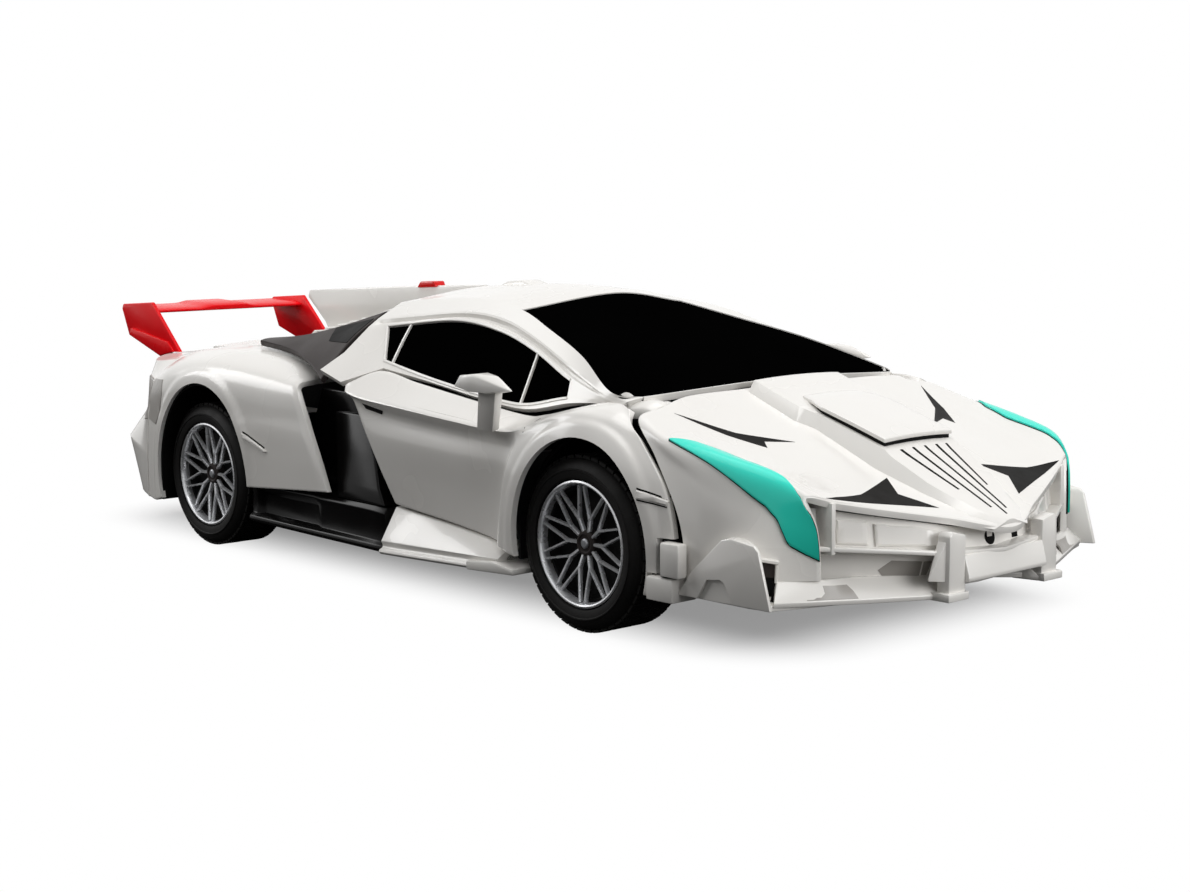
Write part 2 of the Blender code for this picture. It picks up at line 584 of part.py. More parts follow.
def add_wheel(name, side, axle_x, carrier, driven):
    """A tyre on a spoked rim; a driven wheel also has its axle and gear."""
    centre = (axle_x, AXLE_Z)
    inner, outer, bead = WHEEL_INNER, WHEEL_FACE, RIM_RADIUS + FIT
    profile = ((inner, bead), (inner, WHEEL_RADIUS - TYRE_ROUND), (inner + 1, WHEEL_RADIUS - 0.8),
               (inner + TYRE_ROUND, WHEEL_RADIUS), (outer - TYRE_ROUND, WHEEL_RADIUS),
               (outer - 1, WHEEL_RADIUS - 0.8), (outer, WHEEL_RADIUS - TYRE_ROUND), (outer - 0.5, bead))
    turned(f"{name}_tyre", profile, centre, side, "tyre_rubber", carrier)
    add_rim(f"{name}_rim", side, centre, carrier)
    if driven:
        teeth = gear_outline(centre, DRIVE_MODULE, AXLE_TEETH)
        gear = extruded(f"{name}_axle", teeth, "Y", side * DRIVE_GEAR_IN, side * (DRIVE_GEAR_IN + GEAR_WIDTH),
                        "steel", carrier)
        shaft_in = DRIVE_GEAR_IN / 2
        add(gear, rod(f"{name}_shaft", centre, AXLE_RADIUS, "Y", side * shaft_in, side * (outer - AXLE_END)))


def add_rim(name, side, centre, carrier):
    """A rim: hub, thin spokes and a lip in one face plate, with a barrel behind."""
    face_out = WHEEL_FACE - RIM_RECESS
    face_in = face_out - RIM_FACE_DEPTH
    hub = rod(name, centre, HUB_RADIUS, "Y", side * (face_in - 6), side * face_out, "silver_rim", carrier, 20)
    back, front, inside = WHEEL_INNER + 0.5, face_out + 0.5, RIM_RADIUS - RIM_LIP
    profile = ((back, inside), (back, RIM_RADIUS), (front, RIM_RADIUS), (front, inside))
    barrel = turned(f"{name}_barrel", profile, centre, side, sides=3 * SPOKES)
    spokes = []
    for n in range(SPOKES):
        angle = 2 * math.pi * n / SPOKES
        ray = Vector((math.cos(angle), math.sin(angle)))
        across = Vector((-ray.y, ray.x))
        reach = ((HUB_RADIUS - WELD, 0.9), (RIM_RADIUS - RIM_LIP / 2, 0.7))
        outline = [Vector(centre) + ray * r + across * w for r, w in reach]
        outline += [Vector(centre) + ray * r - across * w for r, w in reversed(reach)]
        spoke = [tuple(p) for p in outline]
        spokes.append(extruded(f"{name}_spoke_{n}", spoke, "Y", side * face_in, side * face_out))
    add(hub, barrel, *spokes)
    bore_end = WHEEL_FACE - AXLE_END + FIT
    bore_start = WHEEL_INNER - WELD
    cut(hub, rod(f"{name}_bore", centre, AXLE_RADIUS + FIT, "Y", side * bore_start, side * bore_end))


def add_drive_pinion(name, side, carrier):
    """The pinion on a drive motor's shaft, in mesh with the gear on the axle."""
    centre = (REAR_AXLE_X + drive_centres(), AXLE_Z)
    teeth = gear_outline(centre, DRIVE_MODULE, DRIVE_TEETH, math.pi + math.pi / DRIVE_TEETH)
    pinion = extruded(f"drive_pinion_{name}", teeth, "Y", side * DRIVE_GEAR_IN,
                      side * (DRIVE_GEAR_IN + GEAR_WIDTH), "gear_plastic", carrier)
    shaft_start = DRIVE_MOTOR_IN + DRIVE_MOTOR_LENGTH + FIT
    add(pinion, rod(f"drive_shaft_{name}", centre, MOTOR_SHAFT_RADIUS, "Y", side * shaft_start,
                    side * (DRIVE_GEAR_IN + WELD)))


def add_torso(torso):
    """The robot's body: tray, spine, cabin, engine cover and what they hold."""
    floor = TRAY_BOTTOM + TRAY_WALL
    through_floor = (TRAY_BOTTOM - WELD, floor + WELD)
    top, half = 40.0 * TALL, CHASSIS_HALF
    rear, front = -44.0 * LONG, 132.0 * LONG
    tray = block("torso_tray", (rear, front), (-half, half), (TRAY_BOTTOM, top), "frame_plastic", torso)
    hollow = block("torso_tray_hollow", (rear + TRAY_WALL, front - TRAY_WALL),
                   (-half + TRAY_WALL, half - TRAY_WALL), (floor, top + WELD))
    long, across, high = BATTERY
    hatch = block("battery_hatch", around(BATTERY_X, long / 2), around(0, across / 2), through_floor)
    slot_half = SWITCH[0] / 2 + SWITCH_TRAVEL / 2 + FIT
    slot = block("switch_slot", around(SWITCH_X, slot_half), around(0, SWITCH[1] / 2 + FIT), through_floor)
    button_hole = rod("button_hole", (BUTTON_X, BUTTON_Y), BUTTON_RADIUS + FIT, "Z", *through_floor)
    cut(tray, hollow, hatch, slot, button_hole)
    post_top = 57.7 * TALL
    posts = []
    for name, side in SIDES.items():
        post_ys = sorted((side * 34 * WIDE, side * (half - FIT)))
        posts.append(block(f"cowl_post_{name}", (98 * LONG, 108 * LONG), post_ys, (floor - FIT, post_top)))
    add(tray, *posts)

    add_spine(torso, rear, top)
    add_cabin(torso)
    add_cowl(torso, front, post_top)

    cell_bottom = TRAY_BOTTOM + FIT
    block("battery_pack", around(BATTERY_X, long / 2 - FIT), around(0, across / 2 - FIT),
          (cell_bottom, cell_bottom + high), "cell_wrap", torso)
    long, across, thick = BOARD
    board_bottom = floor + FIT
    block("circuit_board", around(BOARD_X, long / 2), around(0, across / 2),
          (board_bottom, board_bottom + thick), "board_green", torso)


def add_spine(torso, tray_rear, tray_top):
    """The channel from the waist to the tray, with the lift motor in it and the engine cover on top."""
    cover_skin = Skin(COVER_ROWS, across=True)
    cover = panel("engine_cover", cover_skin, whole(cover_skin), PANEL_WALL, "white_body", torso)
    fin = [(-17, 90.6), (-60, 89.0), (-122, 85.6), (-123, 83.0), (-112, 74.0), (-108, 68.4), (-70, 72.4),
           (-40, 79.4), (-17, 86.6)]
    add(cover, extruded("tail_fin", [(x * LONG, z * TALL) for x, z in fin], "Y", -1.5, 1.5))

    wall_out = 30.0 * WIDE
    floor, floor_top = 46.0 * TALL, WAIST_Z - LIFT_MOTOR_RADIUS - FIT
    motor_x = WAIST_X + lift_centres()
    back, front = motor_x - 2.95, tray_rear + 2 * TRAY_WALL
    spine = block("spine_frame", (back, front), (-wall_out, wall_out), (floor, floor_top), "frame_plastic",
                  torso)
    seats = [cover_skin.at(u, 0.62) for u in steps(1.15, 3.75, 4)]
    top_line = [(p.x, p.z - PANEL_WALL * 1.06 - FIT) for p in seats]
    outline = [(front, floor), *top_line, (back, top_line[-1][1] - 3), (back, floor)]
    walls = [extruded(f"spine_wall_{name}", outline, "Y", side * (wall_out - TRAY_WALL), side * wall_out)
             for name, side in SIDES.items()]
    riser = block("spine_riser", (tray_rear, front), (-wall_out, wall_out), (tray_top + FIT, 72 * TALL))
    gear_in = lift_gear_span()[0]
    knuckle_start, knuckle_end = FIT - WAIST_EAR[0], gear_in - RUNNING
    knuckle = rod("waist_knuckle", (WAIST_X, WAIST_Z), WAIST_PIN_RADIUS + FIT + KNUCKLE_WALL, "Y",
                  knuckle_start, knuckle_end)
    web = ((back + WELD, floor), (back - 1.5, floor_top + 0.9), (WAIST_X + 3.6, WAIST_Z - 1.0),
           (WAIST_X - 2, WAIST_Z), (WAIST_X - 1, WAIST_Z - 3.4), (back - 7, floor))
    webbing = extruded("waist_web", web, "Y", knuckle_start, knuckle_end)
    add(spine, *walls, riser, webbing, knuckle)
    bore = rod("spine_bore", (WAIST_X, WAIST_Z), WAIST_PIN_RADIUS + FIT, "Y", -CHASSIS_HALF, CHASSIS_HALF)
    cut(spine, bore)

    motor_end = gear_in - RUNNING - FIT
    rod("lift_motor", (motor_x, WAIST_Z), LIFT_MOTOR_RADIUS, "Y", motor_end - LIFT_MOTOR_LENGTH, motor_end,
        "motor_can", torso, 24)

    for name, side in SIDES.items():
        skin = Skin(BUTTRESS_ROWS, side, outward=(0, side, 1))
        panel(f"buttress_{name}", skin, whole(skin), PANEL_WALL, "dark_grey", torso)


def add_lift_pinion(carrier):
    """The pinion on the lift motor, which walks round the fixed sector."""
    centre = (WAIST_X + lift_centres(), WAIST_Z)
    gear_in, gear_out = lift_gear_span()
    teeth = gear_outline(centre, LIFT_MODULE, LIFT_TEETH, math.pi + math.pi / LIFT_TEETH)
    pinion = extruded("lift_pinion", teeth, "Y", gear_in, gear_out, "gear_plastic", carrier)
    add(pinion, rod("lift_shaft", centre, MOTOR_SHAFT_RADIUS, "Y", gear_in - RUNNING, gear_in + WELD))


def add_cabin(torso):
    """The cabin shell with its windscreen and side windows set in its openings."""
    skin = Skin(CABIN_ROWS, outward=(0, 0, 1), across=True, column_creases=(3, 4, 6, 7))

    def in_window(u, v):
        return 1 < u < 5 and (1 < v < 2 or 8 < v < 9)

    def in_screen(u, v):
        return 3 < u < 6 and 4 < v < 6

    shell = panel("cabin_shell", skin, whole(skin, 2, 1), PANEL_WALL, "white_body", torso,
                  keep=lambda u, v: not in_window(u, v) and not in_screen(u, v))
    shell.data.set_sharp_from_angle(angle=math.radians(25))

    def pane(name, us, v_from, v_to, count):
        places = []
        for u in us:
            width = (skin.at(u, v_to) - skin.at(u, v_from)).length / abs(v_to - v_from)
            inset = PANEL_GAP / width * (1 if v_to > v_from else -1)
            places.append([(u, v) for v in steps(v_from + inset, v_to - inset, count)])
        panel(name, skin, places, LENS_WALL, "black_gloss", torso)

    ends = 0.03
    pane("side_window_right", steps(1 + ends, 5 - ends, 8), 1, 2, 2)
    pane("side_window_left", steps(1 + ends, 5 - ends, 8), 9, 8, 2)
    pane("windscreen", steps(3 + ends, 6 - 4 * ends, 6), 4, 6, 8)


def add_cowl(torso, tray_front, post_top):
    """The cross frames at the front: nose hinge ears on top, shoulder pins and neck below."""
    bar_bottom, bar_top = post_top + FIT, 62.0 * TALL
    ear_in, ear_out = NOSE_EAR
    bar = block("cowl_bar", (101 * LONG, 109 * LONG), (-ear_out, ear_out), (bar_bottom, bar_top),
                "frame_plastic", torso)
    pieces = []
    reach = NOSE_PIN_RADIUS + FIT + 1.0
    ear = ((104 * LONG, bar_bottom), (115 * LONG, bar_bottom), (NOSE_HINGE_X + 1, NOSE_HINGE_Z - reach - 2),
           (NOSE_HINGE_X + reach, NOSE_HINGE_Z - 1), (NOSE_HINGE_X + 1, NOSE_HINGE_Z + reach - 0.6),
           (NOSE_HINGE_X - 2, NOSE_HINGE_Z + reach - 1.6), (111.5 * LONG + PANEL_WALL, 64.4 * TALL - PANEL_WALL),
           (104 * LONG, bar_top))
    for name, side in SIDES.items():
        pieces.append(extruded(f"nose_ear_{name}", ear, "Y", side * ear_in, side * ear_out))
        pieces.append(rod(f"nose_pin_{name}", (NOSE_HINGE_X, NOSE_HINGE_Z), NOSE_PIN_RADIUS, "Y",
                          side * (ear_in - 4), side * (ear_in + WELD)))
    add(bar, *pieces)

    beam_bottom, beam_top = 15.0 * TALL, BEAM_TOP
    back, front = SHOULDER_X - 7, BEAM_FRONT
    beam = block("shoulder_beam", (back, front), (-62 * WIDE, 62 * WIDE), (beam_bottom, beam_top),
                 "frame_plastic", torso)
    tongue = block("beam_tongue", (tray_front + FIT, back + WELD), (-30 * WIDE, 30 * WIDE),
                   (beam_bottom, 19 * TALL))
    neck = block("neck_post", (back, front), (-5, 5), (beam_top - WELD, NECK_Z + 5))
    neck_pin = rod("neck_pin", (0, NECK_Z), NECK_RADIUS, "X", front - WELD, front + 5)
    pins = [rod(f"shoulder_pin_{name}", (SHOULDER_X, side * SHOULDER_OUT), SHOULDER_PIN_RADIUS, "Z",
                beam_top - WELD, KNUCKLE_TOP) for name, side in SIDES.items()]
    ends = []
    for name, side in SIDES.items():
        end_ys = sorted((side * 60 * WIDE, side * SHOULDER_OUT))
        ends.append(block(f"beam_end_{name}", (SHOULDER_X - 2, front), end_ys, (beam_bottom, beam_top)))
        ends.append(rod(f"beam_boss_{name}", (SHOULDER_X, side * SHOULDER_OUT), KNUCKLE_ROOM - RUNNING, "Z",
                        beam_bottom, beam_top))
    add(beam, tongue, neck, neck_pin, *ends, *pins)


def add_head(carrier):
    """A plain helmet on the neck pin, lying back behind the nose; its visor looks down."""
    back = BEAM_FRONT + FIT
    crown = back + HEAD_LENGTH
    wide, deep = HEAD_HALF_WIDTH, HEAD_HALF_DEPTH
    outline = ((back, NECK_Z - 5), (back + 6, NECK_Z - deep), (crown - 5, NECK_Z - deep), (crown, NECK_Z - 3),
               (crown, NECK_Z + 4), (crown - 5, NECK_Z + deep), (back + 4, NECK_Z + deep), (back, NECK_Z + 5))
    head = extruded("robot_head", outline, "Y", -wide, wide, "head_grey", carrier)
    visor = block("visor_slot", (back + 11, back + 15), around(0, wide - 1.5),
                  (NECK_Z - deep - WELD, NECK_Z - deep + 1.5))
    ears = [rod(f"ear_disc_{name}", (back + 12, NECK_Z), 4.0, "Y", side * (wide - WELD), side * (wide + 1.4))
            for name, side in SIDES.items()]
    ridge = ((crown - 8, NECK_Z - deep - 1.2), (crown + 1.5, NECK_Z - 2), (crown + 1.5, NECK_Z + 2),
             (crown - 8, NECK_Z - 2))
    crest = extruded("head_crest", ridge, "Y", -1.5, 1.5)
    add(head, crest, *ears)
    cut(head, visor, rod("neck_bore", (0, NECK_Z), NECK_RADIUS + FIT, "X", back - WELD, back + 5.5))


def add_nose(nose):
    """The nose that lifts off the head: shell, hood plate, lenses, bumper and hinge frame."""
    skin = Skin(NOSE_ROWS, outward=(0.3, 0, 1), across=True, column_creases=(3, 11))
    panel("nose_shell", skin, whole(skin, 2, 1), PANEL_WALL, "white_body", nose)
    plate = [[(u, v) for v in steps(5.35, 8.65, 8)] for u in steps(0.12, 1.75, 4)]
    panel("hood_plate", skin, plate, LENS_WALL, "white_body", nose, lift=LENS_WALL + LENS_GAP)
    for name, side in SIDES.items():
        places = []
        for u, drop in HEADLIGHT:
            row = [HEADLIGHT_EDGE - drop * share for share in (0, 0.5, 1)]
            places.append([(u, v if side == RIGHT else skin.size()[1] - v) for v in row])
        panel(f"headlight_{name}", skin, places, LENS_WALL, "turquoise_lens", nose, lift=LENS_WALL + LENS_GAP)
    add_front_bumper(nose)

    lug_in, lug_out = NOSE_EAR[0] - 3.8, NOSE_EAR[0] - FIT
    reach = NOSE_PIN_RADIUS + FIT + 0.7
    bar_bottom, bar_top = 52.0 * TALL, 56.0 * TALL
    bar = block("nose_frame", (126 * LONG, 131 * LONG), (-lug_out, lug_out), (bar_bottom, bar_top),
                "frame_plastic", nose)
    lug = ((NOSE_HINGE_X - reach, NOSE_HINGE_Z), (NOSE_HINGE_X - 1, NOSE_HINGE_Z + reach - 0.4),
           (NOSE_HINGE_X + 1, NOSE_HINGE_Z + reach - 0.4), (NOSE_HINGE_X + reach, NOSE_HINGE_Z),
           (NOSE_HINGE_X + reach, 61 * TALL), (131 * LONG, bar_top), (131 * LONG, bar_bottom),
           (NOSE_HINGE_X - reach, bar_bottom + 3))
    lugs = []
    for name, side in SIDES.items():
        lugs.append(extruded(f"nose_lug_{name}", lug, "Y", side * lug_in, side * lug_out))
    bore = rod("nose_bore", (NOSE_HINGE_X, NOSE_HINGE_Z), NOSE_PIN_RADIUS + FIT, "Y", -lug_out - WELD,
               lug_out + WELD)
    cut(add(bar, *lugs), bore)


def add_front_bumper(nose):
    """The splitter with the recessed front wall, its middle bar and its two uprights."""
    bottom, top = 14.8 * TALL, 17.6 * TALL
    half = ((203.0, 0), (200.5, 14.5), (178.5, 66.6), (172.0, 68.2), (149.6, 68.4))
    plan = mirrored_outline([(x * LONG, y * WIDE) for x, y in half])
    splitter = extruded("front_bumper", plan, "Z", bottom, top, "white_body", nose)

    def strip(name, line, depth, low, high):
        front = [(x * LONG, y * WIDE) for x, y in line]
        outline = front + [(x - depth, y) for x, y in reversed(front)]
        return extruded(name, outline, "Z", low, high)

    wall_line = [(165, -52), (178, -26), (183, 0), (178, 26), (165, 52)]
    bar_line = [(176, -50), (195, -15), (198, 0), (195, 15), (176, 50)]
    wall = strip("bumper_wall", wall_line, 2.5, top - WELD, 35 * TALL)
    bar = strip("bumper_bar", bar_line, 9.0, 26.0 * TALL, 28.4 * TALL)
    uprights = []
    for name, side in SIDES.items():
        rib_ys = sorted((side * 20 * WIDE, side * 22.5 * WIDE))
        tooth_ys = sorted((side * 12.6 * WIDE, side * 15.2 * WIDE))
        uprights.append(block(f"bumper_rib_{name}", (172 * LONG, 190 * LONG), rib_ys,
                              (top - WELD, 27 * TALL)))
        uprights.append(block(f"bumper_tooth_{name}", (188 * LONG, 199.4 * LONG), tooth_ys,
                              (top - WELD, 29.4 * TALL)))
    add(splitter, wall, bar, *uprights)
    head_end = BEAM_FRONT + FIT + HEAD_LENGTH
    cut(splitter, block("head_room", (SHOULDER_X, head_end), around(0, 1.7 * HEAD_HALF_WIDTH),
                        (bottom - WELD, top + WELD)))


def add_arm(name, side, arm):
    """A door with the front fender, on the frame that carries the front wheel."""
    skin = Skin(ARM_ROWS, side, outward=(0, side, 0.4))
    shell = panel(f"arm_shell_{name}", skin, whole(skin, 2, 1), PANEL_WALL, "white_body", arm)
    knuckle_bottom, knuckle_top = BEAM_TOP + FIT, KNUCKLE_TOP
    corner_ys = sorted((side * 60 * WIDE, side * 80 * WIDE))
    corner = block(f"arm_corner_{name}", (SHOULDER_X - KNUCKLE_ROOM, SHOULDER_X + 8), corner_ys,
                   (10 * TALL, knuckle_top + FIT))
    cut(shell, arch_cutter(f"front_arch_{name}", FRONT_AXLE_X, FRONT_ARCH, side), corner)

    plate_out = WHEEL_INNER - RUNNING
    plate_in = plate_out - TRAY_WALL
    low, high = AXLE_Z - 2 * AXLE_RADIUS, 47.0 * TALL
    back, front = FRONT_AXLE_X - WHEEL_RADIUS - 7, FRONT_AXLE_X + WHEEL_RADIUS + 3
    plate_ys = sorted((side * plate_in, side * plate_out))
    wall_ys = sorted((side * plate_in, side * ARM_WALL_OUT))
    plate = block(f"arm_frame_{name}", (back, front), plate_ys, (low, high), "frame_plastic", arm)
    wall_rear = block(f"arm_rear_wall_{name}", (back, back + TRAY_WALL), wall_ys, (12 * TALL, high))
    wall_front = block(f"arm_front_wall_{name}", (front - TRAY_WALL, front), wall_ys, (low, high))
    sill = ((20.5 * LONG, 11.6 * TALL), (back + WELD, 13.4 * TALL), (back + WELD, 20.2 * TALL),
            (52 * LONG, 22.4 * TALL), (20.5 * LONG, 25.2 * TALL))
    skirt = extruded(f"arm_sill_{name}", sill, "Y", side * 61 * WIDE, side * 69.5 * WIDE)
    pivot_centre = (SHOULDER_X, side * SHOULDER_OUT)
    knuckle = rod(f"arm_knuckle_{name}", pivot_centre, SHOULDER_PIN_RADIUS + FIT + KNUCKLE_WALL, "Z",
                  knuckle_bottom, knuckle_top)
    web = [(front - WELD, side * 60 * WIDE), (front - WELD, side * (ARM_WALL_OUT - 0.5)),
           (SHOULDER_X - 1, side * (SHOULDER_OUT - 0.6)), (SHOULDER_X, side * (SHOULDER_OUT - 2.8))]
    webbing = extruded(f"arm_web_{name}", web, "Z", knuckle_bottom, knuckle_top)
    stub = rod(f"front_stub_{name}", (FRONT_AXLE_X, AXLE_Z), AXLE_RADIUS, "Y", side * (plate_out - WELD),
               side * (WHEEL_FACE - AXLE_END))
    bore = rod(f"arm_bore_{name}", pivot_centre, SHOULDER_PIN_RADIUS + FIT, "Z", knuckle_bottom - WELD,
               knuckle_top + WELD)
    cut(add(plate, wall_rear, wall_front, skirt, webbing, knuckle, stub), bore)
    add_mirror(name, side, arm)


def add_mirror(name, side, arm):
    """A door mirror: a flat pointed head on a short leaning stalk."""
    head = ((63.5, 72, 66.4), (63.5, 79, 66.8), (66, 78.5, 70.4), (66, 72.5, 70), (87, 76, 67),
            (87, 78, 67.2), (76, 73, 65), (76, 79, 65.4), (78, 75.5, 71))
    stalk = ((67, 70.6, 54.6), (75, 70.6, 54.4), (75, 72.0, 53.2), (67, 72.0, 53.4), (71, 74.0, 66.6),
             (78, 74.0, 66.6), (78, 76.5, 66.6), (71, 76.5, 66.6))
    hulls = []
    for label, points in (("mirror", head), ("mirror_stalk", stalk)):
        work = bmesh.new()
        for x, w, z in points:
            work.verts.new(Vector((x * LONG, side * w * WIDE, z * TALL)) * MM)
        bmesh.ops.convex_hull(work, input=work.verts)
        bmesh.ops.delete(work, geom=[v for v in work.verts if not v.link_faces], context="VERTS")
        bmesh.ops.recalc_face_normals(work, faces=work.faces)
        mesh = bpy.data.meshes.new(f"{label}_{name}")
        work.to_mesh(mesh)
        work.free()
        item = bpy.data.objects.new(f"{label}_{name}", mesh)
        bpy.context.collection.objects.link(item)
        hulls.append(item)
    mirror, foot = hulls
    mirror.data.materials.append(finish("white_body"))
    mirror.parent = arm
    mirror.matrix_parent_inverse = parent_inverse(arm)
    add(mirror, foot)


def add_underside(pivots):
    """Battery door, power switch and transform button, which work from below the tray."""
    long, across, _ = BATTERY
    inside = TRAY_BOTTOM + TRAY_WALL
    door_top = TRAY_BOTTOM - FIT
    block("battery_door", around(BATTERY_X, long / 2 + DOOR_MARGIN), around(0, across / 2 + DOOR_MARGIN),
          (door_top - DOOR_THICK, door_top), "frame_plastic", pivots["battery_door"])
    block("power_switch", around(SWITCH_X, SWITCH[0] / 2), around(0, SWITCH[1] / 2),
          (TRAY_BOTTOM - 1.2, inside), "black_trim", pivots["power_switch"])
    rod("transform_button", (BUTTON_X, BUTTON_Y), BUTTON_RADIUS, "Z", TRAY_BOTTOM - 1.6, inside, "red_wing",
        pivots["transform_button"])


def main():
    clear_scene()
    base = pivot("rear_base_pivot", (0, 0, 0))
    torso = pivot("torso_pivot", (WAIST_X, 0, WAIST_Z), base)
    nose = pivot("nose_pivot", (NOSE_HINGE_X, 0, NOSE_HINGE_Z), torso)
    add_rear_base(base)
    add_torso(torso)
    add_lift_pinion(pivot("lift_pinion_pivot", (WAIST_X + lift_centres(), 0, WAIST_Z), torso))
    add_nose(nose)
    add_head(pivot("head_pivot", (SHOULDER_X, 0, NECK_Z), torso))
    below = {
        "battery_door": pivot("battery_door_pivot", (BATTERY_X, 0, TRAY_BOTTOM), torso),
        "power_switch": pivot("power_switch_pivot", (SWITCH_X, 0, TRAY_BOTTOM), torso),
        "transform_button": pivot("transform_button_pivot", (BUTTON_X, BUTTON_Y, TRAY_BOTTOM), torso),
    }
    add_underside(below)
    for name, side in SIDES.items():
        arm = pivot(f"arm_{name}_pivot", (SHOULDER_X, side * SHOULDER_OUT, AXLE_Z), torso)
        add_arm(name, side, arm)
        front_hub = pivot(f"front_{name}_hub_pivot", (FRONT_AXLE_X, side * WHEEL_FACE, AXLE_Z), arm)
        add_wheel(f"front_{name}", side, FRONT_AXLE_X, front_hub, driven=False)
        rear_hub = pivot(f"rear_{name}_hub_pivot", (REAR_AXLE_X, side * WHEEL_FACE, AXLE_Z), base)
        add_wheel(f"rear_{name}", side, REAR_AXLE_X, rear_hub, driven=True)
        shaft = pivot(f"drive_pinion_{name}_pivot", (REAR_AXLE_X + drive_centres(), 0, AXLE_Z), base)
        add_drive_pinion(name, side, shaft)


main()
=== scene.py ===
"""Looks of the transforming robot car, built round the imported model.

Pieces are drawn in millimetres, with +X to the nose, +Y to the car's left and the ground at z = 0.
Points give the distance out from the middle as a positive number, and each side takes its own sign.
"""

import json
import math

import bmesh
import bpy
import numpy as np
from mathutils import Matrix, Vector
from mathutils.bvhtree import BVHTree


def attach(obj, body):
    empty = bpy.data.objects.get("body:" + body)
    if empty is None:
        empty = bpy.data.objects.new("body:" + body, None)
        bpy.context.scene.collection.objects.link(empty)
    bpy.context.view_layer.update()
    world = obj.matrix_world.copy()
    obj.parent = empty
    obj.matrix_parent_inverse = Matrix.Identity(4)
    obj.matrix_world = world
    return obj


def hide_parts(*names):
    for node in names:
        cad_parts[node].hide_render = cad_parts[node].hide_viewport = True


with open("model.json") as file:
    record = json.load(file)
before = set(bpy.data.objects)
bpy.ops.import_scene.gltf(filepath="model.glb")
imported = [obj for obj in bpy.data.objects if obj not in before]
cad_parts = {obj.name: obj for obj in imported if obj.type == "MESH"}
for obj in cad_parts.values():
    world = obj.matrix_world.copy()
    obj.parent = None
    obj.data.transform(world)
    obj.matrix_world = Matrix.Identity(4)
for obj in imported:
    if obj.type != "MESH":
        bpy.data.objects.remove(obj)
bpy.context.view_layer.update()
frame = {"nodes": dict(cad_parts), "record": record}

MM = 0.001
SIDES = {"right": -1, "left": 1}
# Thickness of the body panels
PANEL = 2.0
# Spacing of a skin's mesh lines, as a share of the way from one drawn point to the next
FINE = 0.0625

# Finishes


def linear(code):
    """A colour written as sRGB hex, in linear light."""
    parts = [int(code[i:i + 2], 16) / 255 for i in (1, 3, 5)]
    return (*(c / 12.92 if c <= 0.04045 else ((c + 0.055) / 1.055) ** 2.4 for c in parts), 1.0)


def join(tree, target, links):
    """Links a node's inputs to sockets, or to the first outputs of other nodes."""
    for socket, source in links.items():
        tree.links.new(getattr(source, "outputs", [source])[0], target.inputs[socket])


def node(tree, kind, values=(), links=(), **settings):
    """Adds a node with its settings, socket values and incoming links."""
    made = tree.nodes.new(kind)
    for key, value in settings.items():
        setattr(made, key, value)
    for socket, value in dict(values).items():
        made.inputs[socket].default_value = value
    join(tree, made, dict(links))
    return made


def maths(tree, operation, *terms):
    """One step of arithmetic; each term is a number or comes from another node."""
    numbers = {i: term for i, term in enumerate(terms) if isinstance(term, float)}
    links = {i: term for i, term in enumerate(terms) if i not in numbers}
    return node(tree, "ShaderNodeMath", numbers, links, operation=operation)


def noise(tree, place, size, detail):
    """Soft random patches of this size in mm."""
    values = {"Scale": 1 / (size * MM), "Detail": detail}
    return node(tree, "ShaderNodeTexNoise", values, {"Vector": place}).outputs["Fac"]


def tinted(tree, first, second, share):
    """A colour that runs from the first to the second with a share."""
    colours = {6: linear(first), 7: linear(second)}
    return node(tree, "ShaderNodeMix", colours, {0: share}, data_type="RGBA").outputs[2]


def relief(tree, height, strength, depth):
    return node(tree, "ShaderNodeBump", {"Strength": strength, "Distance": depth * MM}, {"Height": height})


def surface(name, pale, deep, patch, rough, grain, bump, stretch=(1, 1, 1), **constants):
    """Two near colours in soft patches, a roughness that drifts with them, and a fine grain; sizes in mm."""
    made = bpy.data.materials.new(name)
    made.use_nodes = True
    tree = made.node_tree
    place = node(tree, "ShaderNodeTexCoord").outputs["Object"]
    drift = noise(tree, place, patch, 3.0)
    spread = {"From Min": 0.3, "From Max": 0.7, "To Min": rough[0], "To Max": rough[1]}
    sheen = node(tree, "ShaderNodeMapRange", spread, {"Value": drift})
    along = node(tree, "ShaderNodeMapping", {"Scale": stretch}, {"Vector": place})
    pebbles = relief(tree, noise(tree, along, grain, 2.0), bump, 0.1)
    shader = tree.nodes["Principled BSDF"]
    join(tree, shader, {"Base Color": tinted(tree, pale, deep, drift), "Roughness": sheen, "Normal": pebbles})
    for socket, value in constants.items():
        shader.inputs[socket.replace("_", " ")].default_value = value
    return made


# The pitch of a wave texture of scale 1, in the scene's units
WAVE_PITCH = 0.314


def lens(name, pale, deep, low, high, pitch=2.4):
    """A tinted lens over fine moulded flutes, with painted light: paler at its top and darker towards its
    foot.
    """
    made = surface(name, pale, deep, 14.0, (0.10, 0.16), 3.0, 0.02, Specular_IOR_Level=0.2)
    tree = made.node_tree
    place = node(tree, "ShaderNodeTexCoord").outputs["Object"]
    height = node(tree, "ShaderNodeSeparateXYZ", links={0: place}).outputs["Z"]
    share = node(tree, "ShaderNodeMapRange", {"From Min": low * MM, "From Max": high * MM}, {"Value": height})
    flutes = node(tree, "ShaderNodeTexWave", {"Scale": WAVE_PITCH / (pitch * MM), "Distortion": 0.0},
                  {"Vector": place}, bands_direction="X").outputs["Fac"]
    join(tree, tree.nodes["Principled BSDF"], {"Base Color": tinted(tree, deep, pale, share),
                                               "Normal": relief(tree, flutes, 0.06, 0.15)})
    return made


